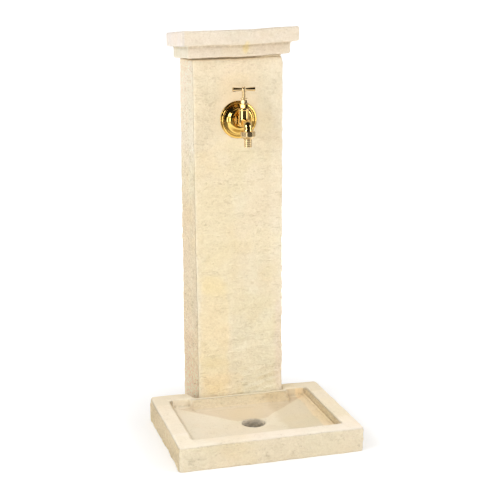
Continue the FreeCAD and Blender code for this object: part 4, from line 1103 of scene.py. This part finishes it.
# ---- Pipe work in the channel -------------------------------------------------------------------------
PIPE_Y = (low("riser_pipe").y + high("riser_pipe").y) / 2
CHANNEL_Y = high("elbow_plugs").y
PIPE_BORE, PIPE_RADIUS, NUT_BORE = 6.5 * MM, 7.5 * MM, 7.55 * MM
PLATE_RADIUS, PLATE_SCREWS, PLATE_THICK = 20 * MM, (90, 210, 330), 5 * MM
SCREW_REACH = 22 * MM  # how deep the screws go into the stone


def riser():
    z0, z1 = foot_and_top("riser_pipe")
    pipe = [(PIPE_BORE, z0), (PIPE_RADIUS, z0), (PIPE_RADIUS, z1), (PIPE_BORE, z1)]
    return over((turned_piece(pipe, 64, 0.0002),), PIPE_Y)


def compression_nut(node):
    nut = flat_sided(6, PIPE_NUT_FLATS, *foot_and_top(node), NUT_BORE, PIPE_NUT_FACE)
    return moved(nut, (0, PIPE_Y, 0))


def supply_fitting():
    """A hexagon with a threaded stub below and a nose for the compression nut above."""
    z0, z1 = foot_and_top("inlet_fitting")
    hex_low, hex_top = z0 + 0.014, z0 + 0.024
    stub = [(PIPE_BORE, z0), (0.0092, z0), (0.0099, z0 + 0.0008), (0.0099, hex_low + 0.0004),
            (PIPE_BORE, hex_low + 0.0004)]
    nose = [(NUT_BORE, hex_top - 0.0004), (0.0105, hex_top - 0.0004), (0.0105, z1 - 0.0006), (0.0099, z1),
            (NUT_BORE, z1)]
    return over((flat_sided(6, PIPE_NUT_FLATS, hex_low, hex_top, 0.0066, PIPE_NUT_FACE),
                 turned_piece(stub, 96, 0.0002), turned_piece(nose, 96, 0.0002),
                 thread(0.00985, PIPE_PITCH, 6.4, 0.00058, (0, 0, z0 + 0.0012), PLUMBING)), PIPE_Y)


def screw_mesh(length):
    head = domed_head(0.004, 0.0026, (0.0, math.pi / 2), 0.0022, 0.001, 0.0013, 0.0)
    shank = turned_piece([(0, -length), (0.0017, -length + 0.003), (0.0017, 0.0003), (0, 0.0003)], 24)
    pitch = 1.6 * MM
    turns = (length - 0.008) / pitch
    return joined(head, shank, thread(0.0017, pitch, turns, 0.36 * MM, (0, 0, -length + 0.003), STEEL))


def screws(head_stand, spots):
    """Screws whose heads stand this far off the channel's face, at spots (x, z)."""
    source = linked("screw_source", screw_mesh(head_stand + SCREW_REACH))
    points = mesh_from([(x, CHANNEL_Y + head_stand, z) for x, z in spots], [])
    mesh = grown(SCREWS, points, {"Screw": source, "Seed": 4, "Finish": STEEL})
    bpy.data.objects.remove(source)
    return mesh


settle("copper_riser", riser(), "riser_pipe", COPPER, 40)
settle("cast_wall_elbow", polished_cast("wall_elbow", 0.7 * MM, 8), "wall_elbow", PLUMBING, 60)
for node in ("elbow_compression_nut", "inlet_compression_nut"):
    settle(node + "_bright", compression_nut(node), node, PLUMBING, 40)
settle("supply_fitting", supply_fitting(), "inlet_fitting", PLUMBING, 40)
plate_spots = [(PLATE_RADIUS * math.cos(a), TAP_HEIGHT + PLATE_RADIUS * math.sin(a))
               for a in map(math.radians, PLATE_SCREWS)]
settle("elbow_screws_set", screws(PLATE_THICK, plate_spots), "elbow_screws", STEEL, 35)
CLIP_HEIGHTS = (low("pipe_clips").z + 0.006, 0.4, high("pipe_clips").z - 0.006)
CLIP_STAND = high("clip_screws").y - CHANNEL_Y - 0.0026
settle("clip_screws_set", screws(CLIP_STAND, [(0, z) for z in CLIP_HEIGHTS]), "clip_screws", STEEL, 35)
settle("snap_pipe_clips", merged_copy("pipe_clips"), "pipe_clips", WHITE_NYLON, 35)

keep(GREY_NYLON, "elbow_plugs", "clip_plugs")
keep(PLUMBING, "tap_extension", "elbow_olive", "inlet_olive")
keep(FIBRE, "bonnet_washer")
keep(PACKING, "gland_packing")
keep(RUBBER, "valve_washer", "hose_washer")
keep(SATIN, "jumper", "jumper_nut")


# ---- Studio -------------------------------------------------------------------------------------------
def pale_floor():
    """A round sheet of white paper that turns even white away from the fountain."""
    reach, back, count = 1.95, 1.05, 96
    rim = [(x, back + y, z) for x, y, z in ring_at(0, reach, even_angles(count))]
    mesh = mesh_from(POINT + rim, [(0, 1 + k, 1 + (k + 1) % count) for k in range(count)])
    floor = linked("pale_floor", mesh)
    finish, tree, shader = new_finish("pale_paper")
    here = coordinates(tree)
    paper = blended(tree, noise(tree, here, 60.0), (0.93, 0.93, 0.93, 1), (0.96, 0.96, 0.96, 1))
    tree.links.new(paper, shader.inputs["Base Color"])
    away = add(tree, "ShaderNodeVectorMath", {0: here}, operation="LENGTH").outputs["Value"]
    tree.links.new(ranged(tree, away, 0.24, 0.8, 0.12, 0.9), shader.inputs["Emission Strength"])
    shader.inputs["Roughness"].default_value = 0.9
    shader.inputs["Specular IOR Level"].default_value = 0.1
    shader.inputs["Emission Color"].default_value = (1, 1, 1, 1)
    floor.data.materials.append(finish)


def soft_box(name, where, aim, size, power, colour):
    light = bpy.data.lights.new(name, "AREA")
    light.shape = "RECTANGLE"
    light.size, light.size_y = size
    light.energy = power
    light.color = colour
    box = linked(name, light)
    box.location = where
    box.rotation_mode = "QUATERNION"
    box.rotation_quaternion = (Vector(aim) - Vector(where)).to_track_quat("-Z", "Y")


# What shiny metal reflects: strips of brightness between two angles about the fountain.
STRIPS = ((-72.0, -54.0, 2.3), (52.0, 70.0, 1.1))
REFLECTED_DARK, REFLECTED_BACK, REFLECTED_LOW, REFLECTED_GROUND = 0.02, 0.6, 0.34, 0.9
AIR_STRENGTH, SEEN_STRENGTH = 0.73, 1.1


def studio_air():
    """Even white air, with dark parts that only shiny metal reflects."""
    world = bpy.data.worlds.new("studio_air")
    bpy.context.scene.world = world
    world.use_nodes = True
    tree = world.node_tree
    tree.nodes.clear()
    path = tree.nodes.new("ShaderNodeLightPath").outputs
    place = tree.nodes.new("ShaderNodeTexCoord")
    axes = add(tree, "ShaderNodeSeparateXYZ", {"Vector": place.outputs["Generated"]}).outputs
    bearing = math_node(tree, "ARCTAN2", axes["X"], product(tree, axes["Y"], -1.0))
    round_about = product(tree, bearing, 57.2958)
    height = axes["Z"]
    tall = product(tree, ranged(tree, height, -0.6, -0.45), ranged(tree, height, 0.68, 0.55))
    strips = [(ranged(tree, axes["Y"], -0.1, 0.35), REFLECTED_BACK),
              (ranged(tree, height, -0.05, -0.2), REFLECTED_LOW),
              (ranged(tree, height, -0.38, -0.5), REFLECTED_GROUND)]
    for start, end, value in STRIPS:
        rise = ranged(tree, round_about, start - 3, start + 3)
        strips.append((product(tree, rise, ranged(tree, round_about, end + 3, end - 3), tall), value))
    shine = math_node(tree, "ADD", total(tree, *strips), REFLECTED_DARK)
    grey = add(tree, "ShaderNodeCombineColor", {0: shine, 1: shine, 2: shine}).outputs[0]
    gloss, even, seen = (
        add(tree, "ShaderNodeBackground", {"Color": colour, "Strength": strength}).outputs[0]
        for colour, strength in ((grey, 1.0), ((1, 1, 1, 1), AIR_STRENGTH), ((1, 1, 1, 1), SEEN_STRENGTH)))
    lit = add(tree, "ShaderNodeMixShader", {0: path["Is Glossy Ray"], 1: even, 2: gloss})
    both = add(tree, "ShaderNodeMixShader", {0: path["Is Camera Ray"], 1: lit.outputs[0], 2: seen})
    out = tree.nodes.new("ShaderNodeOutputWorld")
    tree.links.new(both.outputs[0], out.inputs["Surface"])


def stand_camera():
    azimuth, elevation, roll = math.radians(-16.09), math.radians(12.49), math.radians(-0.04)
    aim, distance = Vector((0.02685, 0.0725, 0.40215)), 2.44823
    level = math.cos(elevation)
    back = Vector((math.sin(azimuth) * level, -math.cos(azimuth) * level, math.sin(elevation)))
    right = (-back).cross(Vector((0, 0, 1))).normalized()
    up = right.cross(-back)
    side = right * math.cos(roll) + up * math.sin(roll)
    top = up * math.cos(roll) - right * math.sin(roll)
    data = bpy.data.cameras.new("camera")
    data.sensor_width = 36.0
    data.lens = 76.42728
    data.clip_start, data.clip_end = 0.05, 60.0
    camera = linked("camera", data)
    turn = Matrix((side, top, back)).transposed().to_4x4()
    camera.matrix_world = Matrix.Translation(aim + back * distance) @ turn
    bpy.context.scene.camera = camera


pale_floor()
studio_air()
AIM = (0, 0.05, 0.45)
soft_box("right_box", (2.3, -1.3, 1.9), AIM, (1.0, 1.3), 18.5, (0.97, 0.99, 1.05))
soft_box("right_low_box", (2.3, -1.6, 0.75), (0, 0.05, 0.4), (1.0, 1.0), 8.5, (0.98, 1.0, 1.04))
soft_box("left_box", (-1.3, -0.5, 1.45), (-0.1, 0.1, 0.6), (0.6, 0.6), 8.0, (0.97, 1.0, 1.06))
soft_box("left_low_box", (-1.8, -1.3, 0.6), (0, 0.05, 0.3), (0.8, 0.8), 8.6, (1.02, 1.0, 0.95))
stand_camera()
bpy.context.scene.view_settings.view_transform = "Standard"
bpy.context.scene.view_settings.look = "None"
